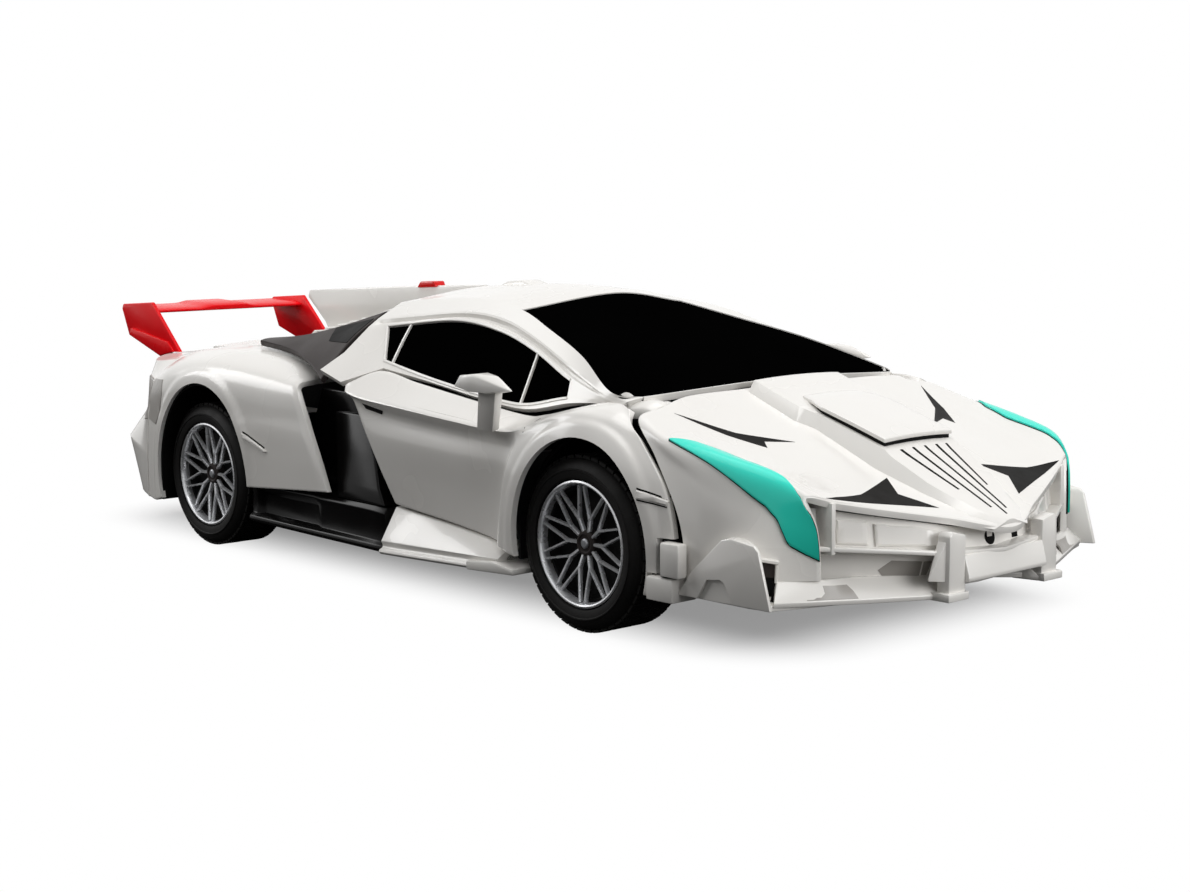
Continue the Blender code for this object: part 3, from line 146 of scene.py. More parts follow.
def circuit_board():
    """Solder-masked board: a deep green coat over fine straight tracks and small bare pads."""
    made = surface("solder_masked_board", "#0E5A2B", "#0B4722", 9.0, (0.28, 0.40), 0.6, 0.1)
    tree = made.node_tree
    place = node(tree, "ShaderNodeTexCoord").outputs["Object"]
    coat = {"Color1": linear("#0E5A2B"), "Color2": linear("#0C4F26"), "Mortar": linear("#2F8A45")}
    tracks = node(tree, "ShaderNodeTexBrick", {"Scale": 1 / (4.0 * MM), "Mortar Size": 0.04, **coat},
                  {"Vector": place}).outputs["Color"]
    dots = node(tree, "ShaderNodeTexVoronoi", {"Scale": 1 / (2.6 * MM)}, {"Vector": place})
    pads = maths(tree, "LESS_THAN", dots.outputs["Distance"], 0.16)
    tint = node(tree, "ShaderNodeMix", {7: linear("#C9C3A8")}, {0: pads, 6: tracks}, data_type="RGBA")
    join(tree, tree.nodes["Principled BSDF"], {"Base Color": tint.outputs[2]})
    return made


FINISH = {
    # Gloss ABS from a polished mould: bright, with a faint warm drift and a soft orange peel
    "white_body": surface("white_abs_polished_mould", "#EEECE8", "#E3E0DB", 38.0, (0.20, 0.30), 2.2, 0.05,
                          IOR=1.50, Coat_Weight=0.25),
    # Satin ABS from a spark-eroded mould: black, with a fine grain that breaks up highlights
    "black_trim": surface("black_abs_satin_mould", "#1B1B1C", "#131314", 20.0, (0.42, 0.55), 0.8, 0.25,
                          Specular_IOR_Level=0.25),
    # Gloss ABS: deep black with mirror-like highlights
    "black_gloss": surface("black_abs_polished_mould", "#0D0C0C", "#080707", 24.0, (0.16, 0.26), 1.8, 0.06,
                           Specular_IOR_Level=0.1),
    # Tinted acrylic, painted black behind: it shows almost nothing but black
    "window": surface("black_acrylic_back_painted", "#040404", "#010101", 60.0, (0.10, 0.16), 6.0, 0.02,
                      Specular_IOR_Level=0.0),
    # Satin ABS: warm dark grey with a fine spark-eroded grain; in the nose pockets and on the hubs it stands
    # for painted shade
    "dark_grey": surface("grey_abs_satin_mould", "#3C3736", "#322D2C", 22.0, (0.36, 0.48), 0.7, 0.22,
                         Specular_IOR_Level=0.06),
    # Gloss ABS coloured through: saturated red with soft highlights
    "red_wing": surface("red_abs_polished_mould", "#F2101A", "#E20C15", 26.0, (0.24, 0.34), 1.8, 0.06,
                        Specular_IOR_Level=0.08),
    # Tinted polycarbonate, fluted behind, with painted light: paler at the top and darker towards its foot
    "turquoise_lens": lens("turquoise_polycarbonate_fluted", "#3CE8D2", "#14A08C", 24.0, 50.0),
    "red_lens": lens("red_polycarbonate_fluted", "#D81A1A", "#8E0B0B", 42.0, 52.0),
    # Silver paint on ABS: fine flakes under a thin clear coat
    "silver_rim": surface("silver_paint_on_abs", "#E0E1E3", "#CFD0D3", 5.0, (0.22, 0.32), 0.35, 0.12,
                          Metallic=0.6, Coat_Weight=0.3),
    # Moulded rubber: matt black, slightly dusty, with a fine pebbled skin
    "tyre_rubber": surface("black_rubber_moulded", "#141312", "#0C0B0B", 6.0, (0.50, 0.66), 0.6, 0.35,
                           Specular_IOR_Level=0.14),
    # Satin ABS of the inner frames: near black, with a soft dull sheen
    "frame_plastic": surface("frame_abs_satin_mould", "#252527", "#1B1B1D", 18.0, (0.45, 0.60), 0.9, 0.25,
                             IOR=1.50),
    # Drawn steel: bright, with fine lines along the bar
    "steel": surface("steel_drawn", "#BDBDBE", "#A5A5A8", 3.0, (0.24, 0.36), 0.3, 0.2, (1, 0.05, 1),
                     Metallic=1.0),
    # Glass-filled nylon as moulded: dark grey and slightly waxy
    "gear_plastic": surface("nylon_glass_filled_moulded", "#3C3B3D", "#302F31", 4.0, (0.38, 0.50), 0.8, 0.15,
                            IOR=1.53),
    # Nickel-plated steel can: bright, with a faint rolled grain round it
    "motor_can": surface("nickel_plated_steel_can", "#7E7D7B", "#6C6B69", 6.0, (0.28, 0.40), 0.5, 0.15,
                         (1, 0.1, 1), Metallic=1.0),
    # Shrink-wrapped cells: blue film, gloss, with long soft creases
    "cell_wrap": surface("blue_pvc_shrink_wrap", "#2A56B4", "#1F4698", 12.0, (0.18, 0.30), 5.0, 0.5,
                         (1, 0.25, 0.25), IOR=1.53),
    # Green solder mask: tracks show as paler lines, with small dull metal pads
    "board_green": circuit_board(),
    # Painted ABS of the head: fine metallic grey
    "head_grey": surface("grey_metallic_paint_on_abs", "#A9ABAF", "#94969A", 7.0, (0.28, 0.38), 0.4, 0.12,
                         Metallic=0.4, Coat_Weight=0.3),
    # Pad-printed ink: a thin, slightly matt black film
    "ink": surface("black_pad_print_ink", "#0E0D0C", "#151312", 5.0, (0.34, 0.44), 0.5, 0.12,
                   Specular_IOR_Level=0.03),
    # Painted shade: dull black with the grain of textured ABS, put in gaps, pockets, holes and hollows where
    # there is only shade
    "shade": surface("black_abs_mould_texture", "#0B0A0A", "#050505", 12.0, (0.55, 0.70), 0.9, 0.3,
                     Specular_IOR_Level=0.08),
    # Gloss ABS of the recessed panels, a shade darker than the body: the darker tone is painted shade
    "grey_body": surface("grey_abs_polished_mould", "#A6A29D", "#9A9691", 20.0, (0.26, 0.36), 1.8, 0.06,
                         IOR=1.50),
}

# Shaping


class Shape:
    """Gathers closed solids, in millimetres, for one piece."""

    def __init__(self):
        self.work = bmesh.new()

    def take(self, other, bevel=0.0, segments=2, angle=30.0):
        """Adds a closed solid, after turning its faces out and rounding its sharp edges."""
        bmesh.ops.recalc_face_normals(other, faces=other.faces)
        if other.calc_volume(signed=True) < 0:
            bmesh.ops.reverse_faces(other, faces=other.faces)
        if bevel:
            limit = math.radians(angle)
            sharp = [e for e in other.edges if len(e.link_faces) == 2 and e.calc_face_angle() > limit]
            bmesh.ops.bevel(other, geom=sharp, offset=bevel, segments=segments, profile=0.5, affect="EDGES",
                            clamp_overlap=True)
        mesh = bpy.data.meshes.new("part")
        other.to_mesh(mesh)
        other.free()
        self.work.from_mesh(mesh)
        bpy.data.meshes.remove(mesh)
        return self

    def solid(self, points, faces, bevel=0.0, **rounding):
        other = bmesh.new()
        corners = [other.verts.new(p) for p in points]
        for face in faces:
            other.faces.new([corners[i] for i in face])
        return self.take(other, bevel, **rounding)

    def sheet(self, upper, lower, faces):
        """Two layers of matching points, closed along their borders."""
        count = len(upper)
        sides = {(face[n - 1], face[n]) for face in faces for n in range(len(face))}
        rim = [[b, a, a + count, b + count] for a, b in sides if (b, a) not in sides]
        return self.solid([*upper, *lower], faces + [[k + count for k in reversed(f)] for f in faces] + rim)

    def loft(self, rings, bevel=0.0, **rounding):
        """A skin over closed rings of as many points each, capped at both ends."""
        count = len(rings[0])
        last = (len(rings) - 1) * count
        faces = [list(range(count))[::-1], list(range(last, last + count))]
        for start in range(0, last, count):
            for i in range(count):
                j = (i + 1) % count
                faces.append([start + i, start + j, start + count + j, start + count + i])
        return self.solid([p for ring in rings for p in ring], faces, bevel, **rounding)

    def prism(self, outline, axis, start, end, bevel=0.4):
        """An outline pushed from start to end along an axis; its points lie on the other two axes."""
        place = "XYZ".index(axis)
        rings = [[(*p[:place], depth, *p[place:]) for p in outline] for depth in (start, end)]
        return self.loft(rings, bevel)

    def block(self, xs, ys, zs, bevel=0.4):
        return self.prism([(xs[0], ys[0]), (xs[1], ys[0]), (xs[1], ys[1]), (xs[0], ys[1])], "Z", *zs, bevel)

    def side_block(self, side, xs, outs, zs, bevel=0.4):
        return self.block(xs, across(side, outs), zs, bevel)

    def hull(self, points, bevel=0.4):
        other = bmesh.new()
        for p in points:
            other.verts.new(p)
        bmesh.ops.convex_hull(other, input=other.verts)
        bmesh.ops.delete(other, geom=[v for v in other.verts if not v.link_faces], context="VERTS")
        bmesh.ops.dissolve_limit(other, angle_limit=0.02, verts=other.verts, edges=other.edges)
        return self.take(other, bevel, angle=15.0)

    def turn(self, profile, sides=96, closed=True):
        """A ring about the Y axis through (along Y, radius) pairs; an open profile is capped at its ends."""
        count = len(profile)
        points, faces = [], []
        for step in range(sides):
            angle = 2 * math.pi * step / sides
            points += [(r * math.cos(angle), along, r * math.sin(angle)) for along, r in profile]
            here, there = step * count, ((step + 1) % sides) * count
            for i in range(count if closed else count - 1):
                j = (i + 1) % count
                faces.append([here + i, here + j, there + j, there + i])
        if not closed:
            faces += [[s * count + end for s in range(sides)] for end in (0, count - 1)]
        return self.solid(points, faces)

    def wall(self, points, normals, thick, edges=(0, 0, 0, 0), keep=None):
        """A wall under a grid of points, closed all round, with its outer edges eased."""
        base, normals, low = eased(points, normals, edges, 0.8 * thick)
        rows, columns = base.shape[:2]
        outer = (base - normals * low[..., None]).reshape(-1, 3)
        inner = (base - normals * thick).reshape(-1, 3)
        corners = [(i, j) for i in range(rows - 1) for j in range(columns - 1) if keep is None or keep[i, j]]
        starts = [i * columns + j for i, j in corners]
        cells = [(k, k + 1, k + columns + 1, k + columns) for k in starts]
        used = sorted({k for cell in cells for k in cell})
        index = {k: n for n, k in enumerate(used)}
        return self.sheet(outer[used], inner[used], [[index[k] for k in cell] for cell in cells])

    def strip(self, skin, u, v, half, height, sink=0.3):
        """A rounded moulding along a line of places on a skin."""
        path, normals = skin.lay(*np.broadcast_arrays(np.asarray(u, float), np.asarray(v, float)))
        sideways = np.cross(np.gradient(path, axis=0), normals)
        sideways /= np.linalg.norm(sideways, axis=1, keepdims=True)
        ring = ((-half, -sink), (-half, 0.55 * height), (-0.55 * half, height), (0.55 * half, height),
                (half, 0.55 * height), (half, -sink))
        return self.loft([[p + s * w + n * h for w, h in ring] for p, s, n in zip(path, sideways, normals)])

    def raw(self, name, finish, smooth=32.0):
        """The piece as an object in metres, not yet on a body."""
        mesh = bpy.data.meshes.new(name)
        self.work.to_mesh(mesh)
        self.work.free()
        mesh.transform(Matrix.Scale(MM, 4))
        soften(mesh, smooth)
        return shown(name, mesh, finish)

    def done(self, name, finish, body, *nodes, smooth=32.0):
        """The piece on its body and in place of these CAD nodes."""
        return settle_on(self.raw(name, finish, smooth), finish, body, *nodes)


def add(name, data):
    item = bpy.data.objects.new(name, data)
    bpy.context.scene.collection.objects.link(item)
    return item


def shown(name, mesh, finish):
    mesh.materials.clear()
    mesh.materials.append(FINISH[finish])
    return add(name, mesh)


def soften(mesh, degrees):
    mesh.shade_smooth()
    mesh.set_sharp_from_angle(angle=math.radians(degrees))


def settle_on(item, finish, body, *nodes):
    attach(item, body)
    if nodes:
        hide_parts(*nodes)
    return item


def plain(item):
    """Turns an object's modifiers into a plain mesh."""
    bpy.context.view_layer.update()
    mesh = bpy.data.meshes.new_from_object(item.evaluated_get(bpy.context.evaluated_depsgraph_get()))
    finishes = list(item.data.materials)
    item.modifiers.clear()
    item.data = mesh
    if not mesh.materials:
        for one in finishes:
            mesh.materials.append(one)
    soften(mesh, 32.0)
    return item


def carve(item, *cutters):
    """Takes other shapes out of a piece."""
    others = [cutter.raw(f"{item.name}_cutter", "shade") for cutter in cutters]
    for other in others:
        step = item.modifiers.new("carve", "BOOLEAN")
        step.operation = "DIFFERENCE"
        step.solver = "EXACT"
        step.object = other
    plain(item)
    for other in others:
        bpy.data.objects.remove(other, do_unlink=True)
    return item


def eased(points, normals, edges, deepest):
    """Adds lines close to a grid's borders, with how far each lies below the skin, to round its edges."""
    low = np.zeros(points.shape[:2])
    for axis, sizes in enumerate((edges[:2], edges[2:])):
        points, normals, low = (np.moveaxis(a, axis, 0) for a in (points, normals, low))
        for size in sizes:
            if size:
                away = points[1] - points[0]
                away = away / np.linalg.norm(away, axis=-1, keepdims=True)
                lines = [points[0] + away * size * share for share in (0, 0.3, 1)]
                lows = [np.maximum(low[0], min(size, deepest) * share) for share in (1, 0.3, 0)]
                points = np.concatenate([np.stack(lines), points[1:]])
                normals = np.concatenate([np.stack([normals[0]] * 3), normals[1:]])
                low = np.concatenate([np.stack(lows), low[1:]])
            points, normals, low = points[::-1], normals[::-1], low[::-1]
        points, normals, low = (np.moveaxis(a, 0, axis) for a in (points, normals, low))
    return points, normals, low


def places(us, vs):
    return np.meshgrid(np.asarray(us, float), np.asarray(vs, float), indexing="ij")


def even(start, end, step=FINE):
    return np.linspace(start, end, int(round((end - start) / step)) + 1)


def step_up(value, start, end):
    """A smooth step from 0 at start to 1 at end."""
    t = np.clip((value - start) / (end - start), 0, 1)
    return t * t * (3 - 2 * t)


def within(value, start, full, fading, end):
    """1 from full to fading, with a smooth step up from start and one down to end."""
    return step_up(value, start, full) * step_up(value, end, fading)


class Skin:
    """A smooth body surface through rows of drawn points, on one side of the car or right across it."""

    def __init__(self, rows, side=-1, outward=(0, 0, 1), across=False, row_creases=(), column_creases=()):
        grid = np.array(rows, float)
        if across:
            grid = np.concatenate([grid * (1, -1, 1), grid[:, -2::-1]], axis=1)
        else:
            grid = grid * (1, side, 1)
        self.grid, self.outward, self.sense = grid, np.array(outward, float), None
        self.row_creases, self.column_creases = row_creases, column_creases
        self.top = (grid.shape[0] - 1, grid.shape[1] - 1)

    def share(self, t, last, creases):
        """How much of each drawn point goes into the curve at t; it turns sharply at a crease."""
        i = np.clip(t.astype(int), 0, last - 1)
        f = t - i
        before, here = 0.5 * (-f + 2 * f**2 - f**3), 0.5 * (2 - 5 * f**2 + 3 * f**3)
        there, after = 0.5 * (f + 4 * f**2 - 3 * f**3), 0.5 * (f**3 - f**2)
        no_before = (i == 0) | np.isin(i, creases)
        no_after = (i + 2 > last) | np.isin(i + 1, creases)
        here = here + 2 * before * no_before - after * no_after
        there = there - before * no_before + 2 * after * no_after
        shares = np.zeros((len(t), last + 3))
        rows = np.arange(len(t))
        for offset, value in enumerate((before * ~no_before, here, there, after * ~no_after)):
            shares[rows, i + offset] += value
        return shares[:, 1:last + 2]

    def at(self, u, v):
        u, v = np.asarray(u, float), np.asarray(v, float)
        by_row = self.share(u.ravel(), self.top[0], self.row_creases)
        by_column = self.share(v.ravel(), self.top[1], self.column_creases)
        return np.einsum("nr,nc,rck->nk", by_row, by_column, self.grid).reshape(*u.shape, 3)

    def cross(self, u, v, step=0.02):
        u, v = np.asarray(u, float), np.asarray(v, float)
        along_u = self.at(np.minimum(u + step, self.top[0]), v) - self.at(np.maximum(u - step, 0), v)
        along_v = self.at(u, np.minimum(v + step, self.top[1])) - self.at(u, np.maximum(v - step, 0))
        facing = np.cross(along_u, along_v)
        return facing / np.linalg.norm(facing, axis=-1, keepdims=True)

    def normal(self, u, v):
        """Outward normals: the whole skin faces the side that most of it shows to the outward direction."""
        if self.sense is None:
            around = places(*(np.linspace(0.05, top - 0.05, 15) for top in self.top))
            self.sense = np.sign((self.cross(*around) @ self.outward).sum())
        return self.cross(u, v) * self.sense

    def lay(self, u, v, lift=0.0):
        """Points and normals over places on the skin, lifted off it by this much."""
        points, normals = self.at(u, v), self.normal(u, v)
        return points + normals * np.asarray(lift)[..., None], normals

    def wall(self, us, vs, thick, edges=(0, 0, 0, 0), lift=0.0):
        """A wall over a stretch of the skin."""
        return Shape().wall(*self.lay(*places(us, vs), lift), thick, edges)

    def to_side(self, side, v):
        """A place drawn for the right side of a skin that runs right across, on this side of it."""
        return self.top[1] - v if side > 0 else v


class Blended(Skin):
    """Two skins through the same points, one after the other as v grows from start to end."""

    def __init__(self, first, second, start, end):
        self.first, self.second, self.start, self.end = first, second, start, end
        self.top, self.outward, self.sense = first.top, first.outward, None

    def at(self, u, v):
        t = step_up(np.asarray(v, float), self.start, self.end)[..., None]
        return self.first.at(u, v) * (1 - t) + self.second.at(u, v) * t


def ground_of(item):
    """The surface of a piece, to lay others on."""
    points = [v.co / MM for v in item.data.vertices]
    return BVHTree.FromPolygons(points, [list(face.vertices) for face in item.data.polygons])


# The axis that each view looks along, and where it looks from
VIEWS = {"right": (1, -130), "left": (1, 130), "top": (2, 160), "front": (0, 280), "rear": (0, -280)}


def drop(over, view, point):
    """Where a drawn point lands on a surface when seen from this side, and the way it faces there."""
    axis, far = VIEWS[view]
    start, direction = Vector((*point[:axis], far, *point[axis:])), Vector()
    direction[axis] = -math.copysign(1, far)
    place, facing, _, _ = over.ray_cast(start, direction)
    if place is None:
        place, facing, _, _ = over.find_nearest(start + direction * abs(far) * 0.6)
    return place, (facing if facing.dot(direction) < 0 else -facing)


def drape(shape, over, view, outline, lift, thick, edge=0.0, cell=2.0):
    """Adds a plate of this outline, laid on a surface; its top stands off by lift, with eased edges."""
    flat = bmesh.new()
    face = flat.faces.new([flat.verts.new((a, b, 0)) for a, b in outline])
    if edge:
        face.normal_update()
        bmesh.ops.inset_individual(flat, faces=[face], thickness=edge, use_even_offset=True)
    for axis in (0, 1):
        values = [p[axis] for p in outline]
        for line in np.arange(math.floor(min(values) / cell) * cell + cell, max(values), cell):
            spot, facing = Vector(), Vector()
            spot[axis], facing[axis] = line, 1
            whole = [*flat.verts, *flat.edges, *flat.faces]
            bmesh.ops.bisect_plane(flat, geom=whole, dist=1e-5, plane_co=spot, plane_no=facing)
    bmesh.ops.triangulate(flat, faces=flat.faces)
    flat.verts.index_update()
    border = {v.index for e in flat.edges if len(e.link_faces) == 1 for v in e.verts}
    top, under = [], []
    for v in flat.verts:
        place, facing = drop(over, view, v.co.xy)
        fall = 0.7 * edge if v.index in border else 0.0
        top.append(place + facing * (lift - fall))
        under.append(place + facing * (lift - thick))
    faces = [[v.index for v in f.verts] for f in flat.faces]
    flat.free()
    shape.sheet(top, under, faces)


def plates(name, finish, body, over, view, *drawn):
    """A piece of plates laid on a surface; each is an outline with its lift, thickness, edge and cell."""
    shape = Shape()
    for outline, *sizes in drawn:
        drape(shape, over, view, outline, *sizes)
    return shape.done(name, finish, body)


def ellipse(middle, wide, high, sides=72):
    turns = [2 * math.pi * i / sides for i in range(sides)]
    return [(middle[0] + wide * math.cos(t), middle[1] + high * math.sin(t)) for t in turns]


def across(side, outs):
    """Two distances out from the middle, as Y values on this side."""
    return [side * out for out in outs]


def on_side(side, points):
    return [(x, side * out, up) for x, out, up in points]


def section(x, side, ring):
    """A ring of (out, up) points at one place along the car."""
    return [(x, side * out, up) for out, up in ring]


def read(table, x):
    """The value at x of a line through (x, value) points."""
    return np.interp(x, *zip(*table))


# Repeats


def tree_with(name, **sockets):
    """A tree of nodes with these named inputs, a shape to repeat and a finish."""
    tree = bpy.data.node_groups.new(name, "GeometryNodeTree")
    for label, kind in {"Geometry": "Geometry", **sockets, "Finish": "Material"}.items():
        tree.interface.new_socket(label.replace("_", " "), in_out="INPUT", socket_type=f"NodeSocket{kind}")
    tree.interface.new_socket("Geometry", in_out="OUTPUT", socket_type="NodeSocketGeometry")
    return tree, node(tree, "NodeGroupInput").outputs


def close_tree(tree, given, points, shift, **copying):
    """Ends a tree: copies on the shifted points, made real and coated."""
    placed = node(tree, "GeometryNodeSetPosition", links={"Geometry": points, "Position": shift})
    copies = node(tree, "GeometryNodeInstanceOnPoints",
                  links={"Points": placed, "Instance": given["Geometry"], **copying})
    real = node(tree, "GeometryNodeRealizeInstances", links={0: copies})
    coated = node(tree, "GeometryNodeSetMaterial", links={"Geometry": real, "Material": given["Finish"]})
    node(tree, "NodeGroupOutput", links={0: coated})
    return tree


def ring_tree():
    """Copies of a shape turned about Y, evenly all round, in rows that are staggered by a share of a step."""
    tree, given = tree_with("ring of copies", Count="Int", Rows="Int", Row_step="Float", Stagger="Float")
    total = maths(tree, "MULTIPLY", given["Count"], given["Rows"])
    points = node(tree, "GeometryNodePoints", links={"Count": total})
    index = node(tree, "GeometryNodeInputIndex")
    row = maths(tree, "FLOOR", maths(tree, "DIVIDE", index, given["Count"]))
    place = maths(tree, "MULTIPLY_ADD", row, given["Stagger"], index)
    turn = maths(tree, "MULTIPLY", maths(tree, "DIVIDE", place, given["Count"]), 2 * math.pi)
    angles = node(tree, "ShaderNodeCombineXYZ", links={"Y": turn})
    turning = node(tree, "FunctionNodeEulerToRotation", links={0: angles})
    along = maths(tree, "MULTIPLY", row, given["Row step"])
    shift = node(tree, "ShaderNodeCombineXYZ", links={"Y": along})
    return close_tree(tree, given, points, shift, Rotation=turning)


def row_tree():
    """Copies of a shape in a straight row, each a little narrower than the one before."""
    tree, given = tree_with("row of copies", Count="Int", Step="Vector", Narrowing="Float")
    points = node(tree, "GeometryNodePoints", links={"Count": given["Count"]})
    index = node(tree, "GeometryNodeInputIndex")
    shift = node(tree, "ShaderNodeVectorMath", links={0: given["Step"], "Scale": index}, operation="SCALE")
    width = maths(tree, "SUBTRACT", 1.0, maths(tree, "MULTIPLY", index, given["Narrowing"]))
    size = node(tree, "ShaderNodeCombineXYZ", {"X": 1.0, "Z": 1.0}, {"Y": width})
    return close_tree(tree, given, points, shift, Scale=size)


RING, ROW = ring_tree(), row_tree()


def grow(item, tree, finish, **inputs):
    """Repeats a piece by a tree of nodes, and keeps the result as a plain mesh."""
    step = item.modifiers.new("repeat", "NODES")
    step.node_group = tree
    inputs["Finish"] = FINISH[finish]
    for socket in tree.interface.items_tree:
        key = socket.name.replace(" ", "_")
        if socket.in_out == "INPUT" and key in inputs:
            step[socket.identifier] = inputs[key]
    return plain(item)


def moved(item, place, side=1):
    """Puts a piece drawn about the origin in its place, turned to this side of the car."""
    item.data.transform(Matrix.Diagonal((1, side, 1, 1)))
    if side < 0:
        item.data.flip_normals()
    item.data.transform(Matrix.Translation(Vector(place) * MM))
    return item


# Wheels, drawn about the axle with the outer face at y = 0 and the car on the -Y side

WHEEL_FACE, TYRE_WIDTH, WHEEL_RADIUS, RIM_RADIUS = 69.5, 20.0, 25.0, 17.9
AXLES = {"front": 108.0, "rear": -88.0}
AXLE_Z = WHEEL_RADIUS
SPOKES, TREADS, TREAD_ROWS, TREAD_WIDTH = 10, 46, 4, 4.0


def tyre_carcass():
    r = WHEEL_RADIUS
    half = [(-1.2, 18.2), (-0.2, 18.5), (0.1, 19.6), (0.15, 20.6), (0.4, 20.8), (0.4, 21.1), (0.1, 21.3),
            (-0.3, 22.4), (-1.1, 23.5), (-2.2, r - 0.75), (-3.0, r - 0.65)]
    return Shape().turn(half + [(-TYRE_WIDTH - out, radius) for out, radius in reversed(half)])


def tread_block():
    """One tread block on the +X side, in the outermost row."""
    half, lean = math.pi * WHEEL_RADIUS / TREADS * 0.80, 0.5
    outer, inner = -2.0, -2.0 - TREAD_WIDTH
    middle = (outer + inner) / 2
    base = [(outer, -half), (inner, -half + lean), (inner, half + lean), (outer, half)]
    crown = [(middle + (y - middle) * 0.9, z * 0.88) for y, z in base]
    layers = ((WHEEL_RADIUS - 1.1, base), (WHEEL_RADIUS - 0.15, base), (WHEEL_RADIUS, crown))
    return Shape().loft([section(x, 1, ring) for x, ring in layers])


def rim_lip():
    """The bright outer ring of the rim, with its rolled edge."""
    r = RIM_RADIUS
    return Shape().turn(((-0.6, r), (-0.45, r - 0.5), (-0.6, r - 0.9), (-1.2, r - 1.2), (-2.6, r - 1.4),
                         (-3.4, r - 1.4), (-3.4, r)))


def rim_barrel():
    """The inside of the rim, closed by a disc behind the spokes, all in black as painted shade."""
    r = RIM_RADIUS
    profile = ((-5.6, 0.2), (-5.6, r - 3.4), (-3.3, r - 2.4), (-3.3, r), (-18.5, r), (-18.5, r - 2.4),
               (-8.0, r - 2.8), (-8.0, 0.2))
    return Shape().turn(profile, sides=64, closed=False)


def spoke():
    """One Y-shaped spoke: a stem out of the hub and two thin arms to the rim."""
    shape = Shape()

    def bar(*ends):
        (start, *_), (end, *_) = ends
        along = np.subtract(end, start) / math.dist(start, end)
        sections = []
        for (x, z), foot, crest, out in ends:
            ring = ((-foot, out - 1.2), (-foot, out - 0.5), (-crest, out), (crest, out), (foot, out - 0.5),
                    (foot, out - 1.2))
            sections.append([(x - along[1] * w, y, z + along[0] * w) for w, y in ring])
        shape.loft(sections)

    fork, reach, spread = 7.4, RIM_RADIUS - 1.4, math.radians(14.4)
    bar(((1.6, 0), 0.5, 0.28, -3.0), ((fork, 0), 0.6, 0.34, -2.2))
    for turn in (-spread, spread):
        tip = (reach * math.cos(turn), reach * math.sin(turn))
        bar(((fork - 0.4, 0), 0.42, 0.24, -2.2), (tip, 0.38, 0.22, -1.2))
    return shape


# The hub cap is dark grey as painted shade, so the hub looks recessed
def hub_cap():
    profile = ((-6.0, 0.2), (-6.0, 3.7), (-3.1, 3.7), (-2.6, 3.3), (-2.5, 2.7), (-2.8, 2.3), (-2.8, 0.2))
    return Shape().turn(profile, sides=40, closed=False)


def hub_nut():
    profile = ((-3.2, 0.2), (-3.2, 1.5), (-2.5, 1.4), (-2.2, 1.0), (-2.15, 0.2))
    return Shape().turn(profile, sides=24, closed=False)


TREAD_RING = dict(Count=TREADS, Rows=TREAD_ROWS, Row_step=-TREAD_WIDTH * MM, Stagger=0.5)
SPOKE_RING = dict(Count=SPOKES, Rows=1, Row_step=0.0, Stagger=0.0)
WHEEL_PIECES = (
    (tyre_carcass, "tyre_carcass", "tyre_rubber", ["tyre"], None),
    (tread_block, "tread", "tyre_rubber", [], TREAD_RING),
    (rim_lip, "rim_lip", "silver_rim", ["rim"], None),
    (rim_barrel, "rim_barrel", "shade", [], None),
    (spoke, "spokes", "silver_rim", [], SPOKE_RING),
    (hub_cap, "hub_cap", "dark_grey", [], None),
    (hub_nut, "hub_nut", "head_grey", [], None),
)
for name, side in SIDES.items():
    for end, axle in AXLES.items():
        wheel = f"{end}_{name}"
        for draw, label, finish, parts, repeat in WHEEL_PIECES:
            item = draw().raw(f"{wheel}_{label}", finish)
            if repeat:
                grow(item, RING, finish, **repeat)
            moved(item, (axle, side * WHEEL_FACE, AXLE_Z), side)
            settle_on(item, finish, f"{wheel}_wheel", *(f"{wheel}_{part}" for part in parts))

# Doors and front fenders (the robot's arms)

ARM_ROWS = (
    ((-3.2, 69.4, 62.2), (6.8, 62.0, 66.8), (26, 61.8, 64.3), (52, 60.9, 60.8), (75, 60.1, 58.1),
     (84, 59.6, 58.8), (96, 59.2, 61.4), (108, 59.2, 63.9), (116, 60.4, 64.4), (121.6, 62.4, 63.4)),
    ((-1.6, 70.8, 60.4), (8, 71.6, 58.9), (26, 71.8, 57.6), (52, 71.0, 55.5), (75, 69.8, 54.0),
     (87, 70.2, 56.2), (97, 68.6, 60.3), (108, 67.0, 62.8), (118, 66.3, 62.4), (126.6, 66.0, 59.8)),
    ((1.6, 69.6, 57.2), (10, 69.2, 55.2), (26, 68.9, 53.6), (52, 68.4, 51.6), (76, 68.8, 50.4),
     (85, 71.6, 51.8), (96, 71.8, 57.0), (109, 71.0, 60.0), (121, 69.4, 58.6), (132.4, 67.6, 55.6)),
    ((8.2, 70.0, 47.4), (16, 70.1, 46.8), (29, 70.0, 46.2), (52, 69.5, 44.8), (75, 69.5, 43.5),
     (81, 72.6, 43.0), (95, 74.0, 46.0), (110, 74.0, 49.0), (127, 72.6, 48.0), (142.6, 69.6, 45.0)),
    ((14.6, 69.3, 36.6), (22, 69.2, 36.0), (32, 69.0, 35.2), (52, 68.5, 34.0), (73, 68.8, 32.5),
     (78.5, 72.8, 31.5), (94, 74.0, 32.0), (112, 74.0, 32.0), (131, 73.0, 32.0), (146.8, 70.0, 32.0)),
    ((20.2, 68.0, 26.6), (26, 68.0, 26.0), (34, 68.0, 25.3), (52, 67.8, 23.6), (71, 68.4, 21.4),
     (77, 72.4, 20.4), (94, 73.4, 18.0), (113, 73.4, 16.5), (132, 72.4, 15.5), (147.2, 69.8, 15.2)),
)
# Each wheel arch: its middle along the car, half its width, and its height over the axle
FRONT_ARCH, REAR_ARCH = (111.5, 27.0, 30.6), (-84.0, 28.6, 32.5)
ARCH_LIP = 0.6
# How far outside an arch its lip starts and is full, and where the rear lip does so along the car
FRONT_LIP, REAR_LIP, REAR_LIP_ALONG = (5.0, 3.0), (4.6, 3.4), (-52, -57)
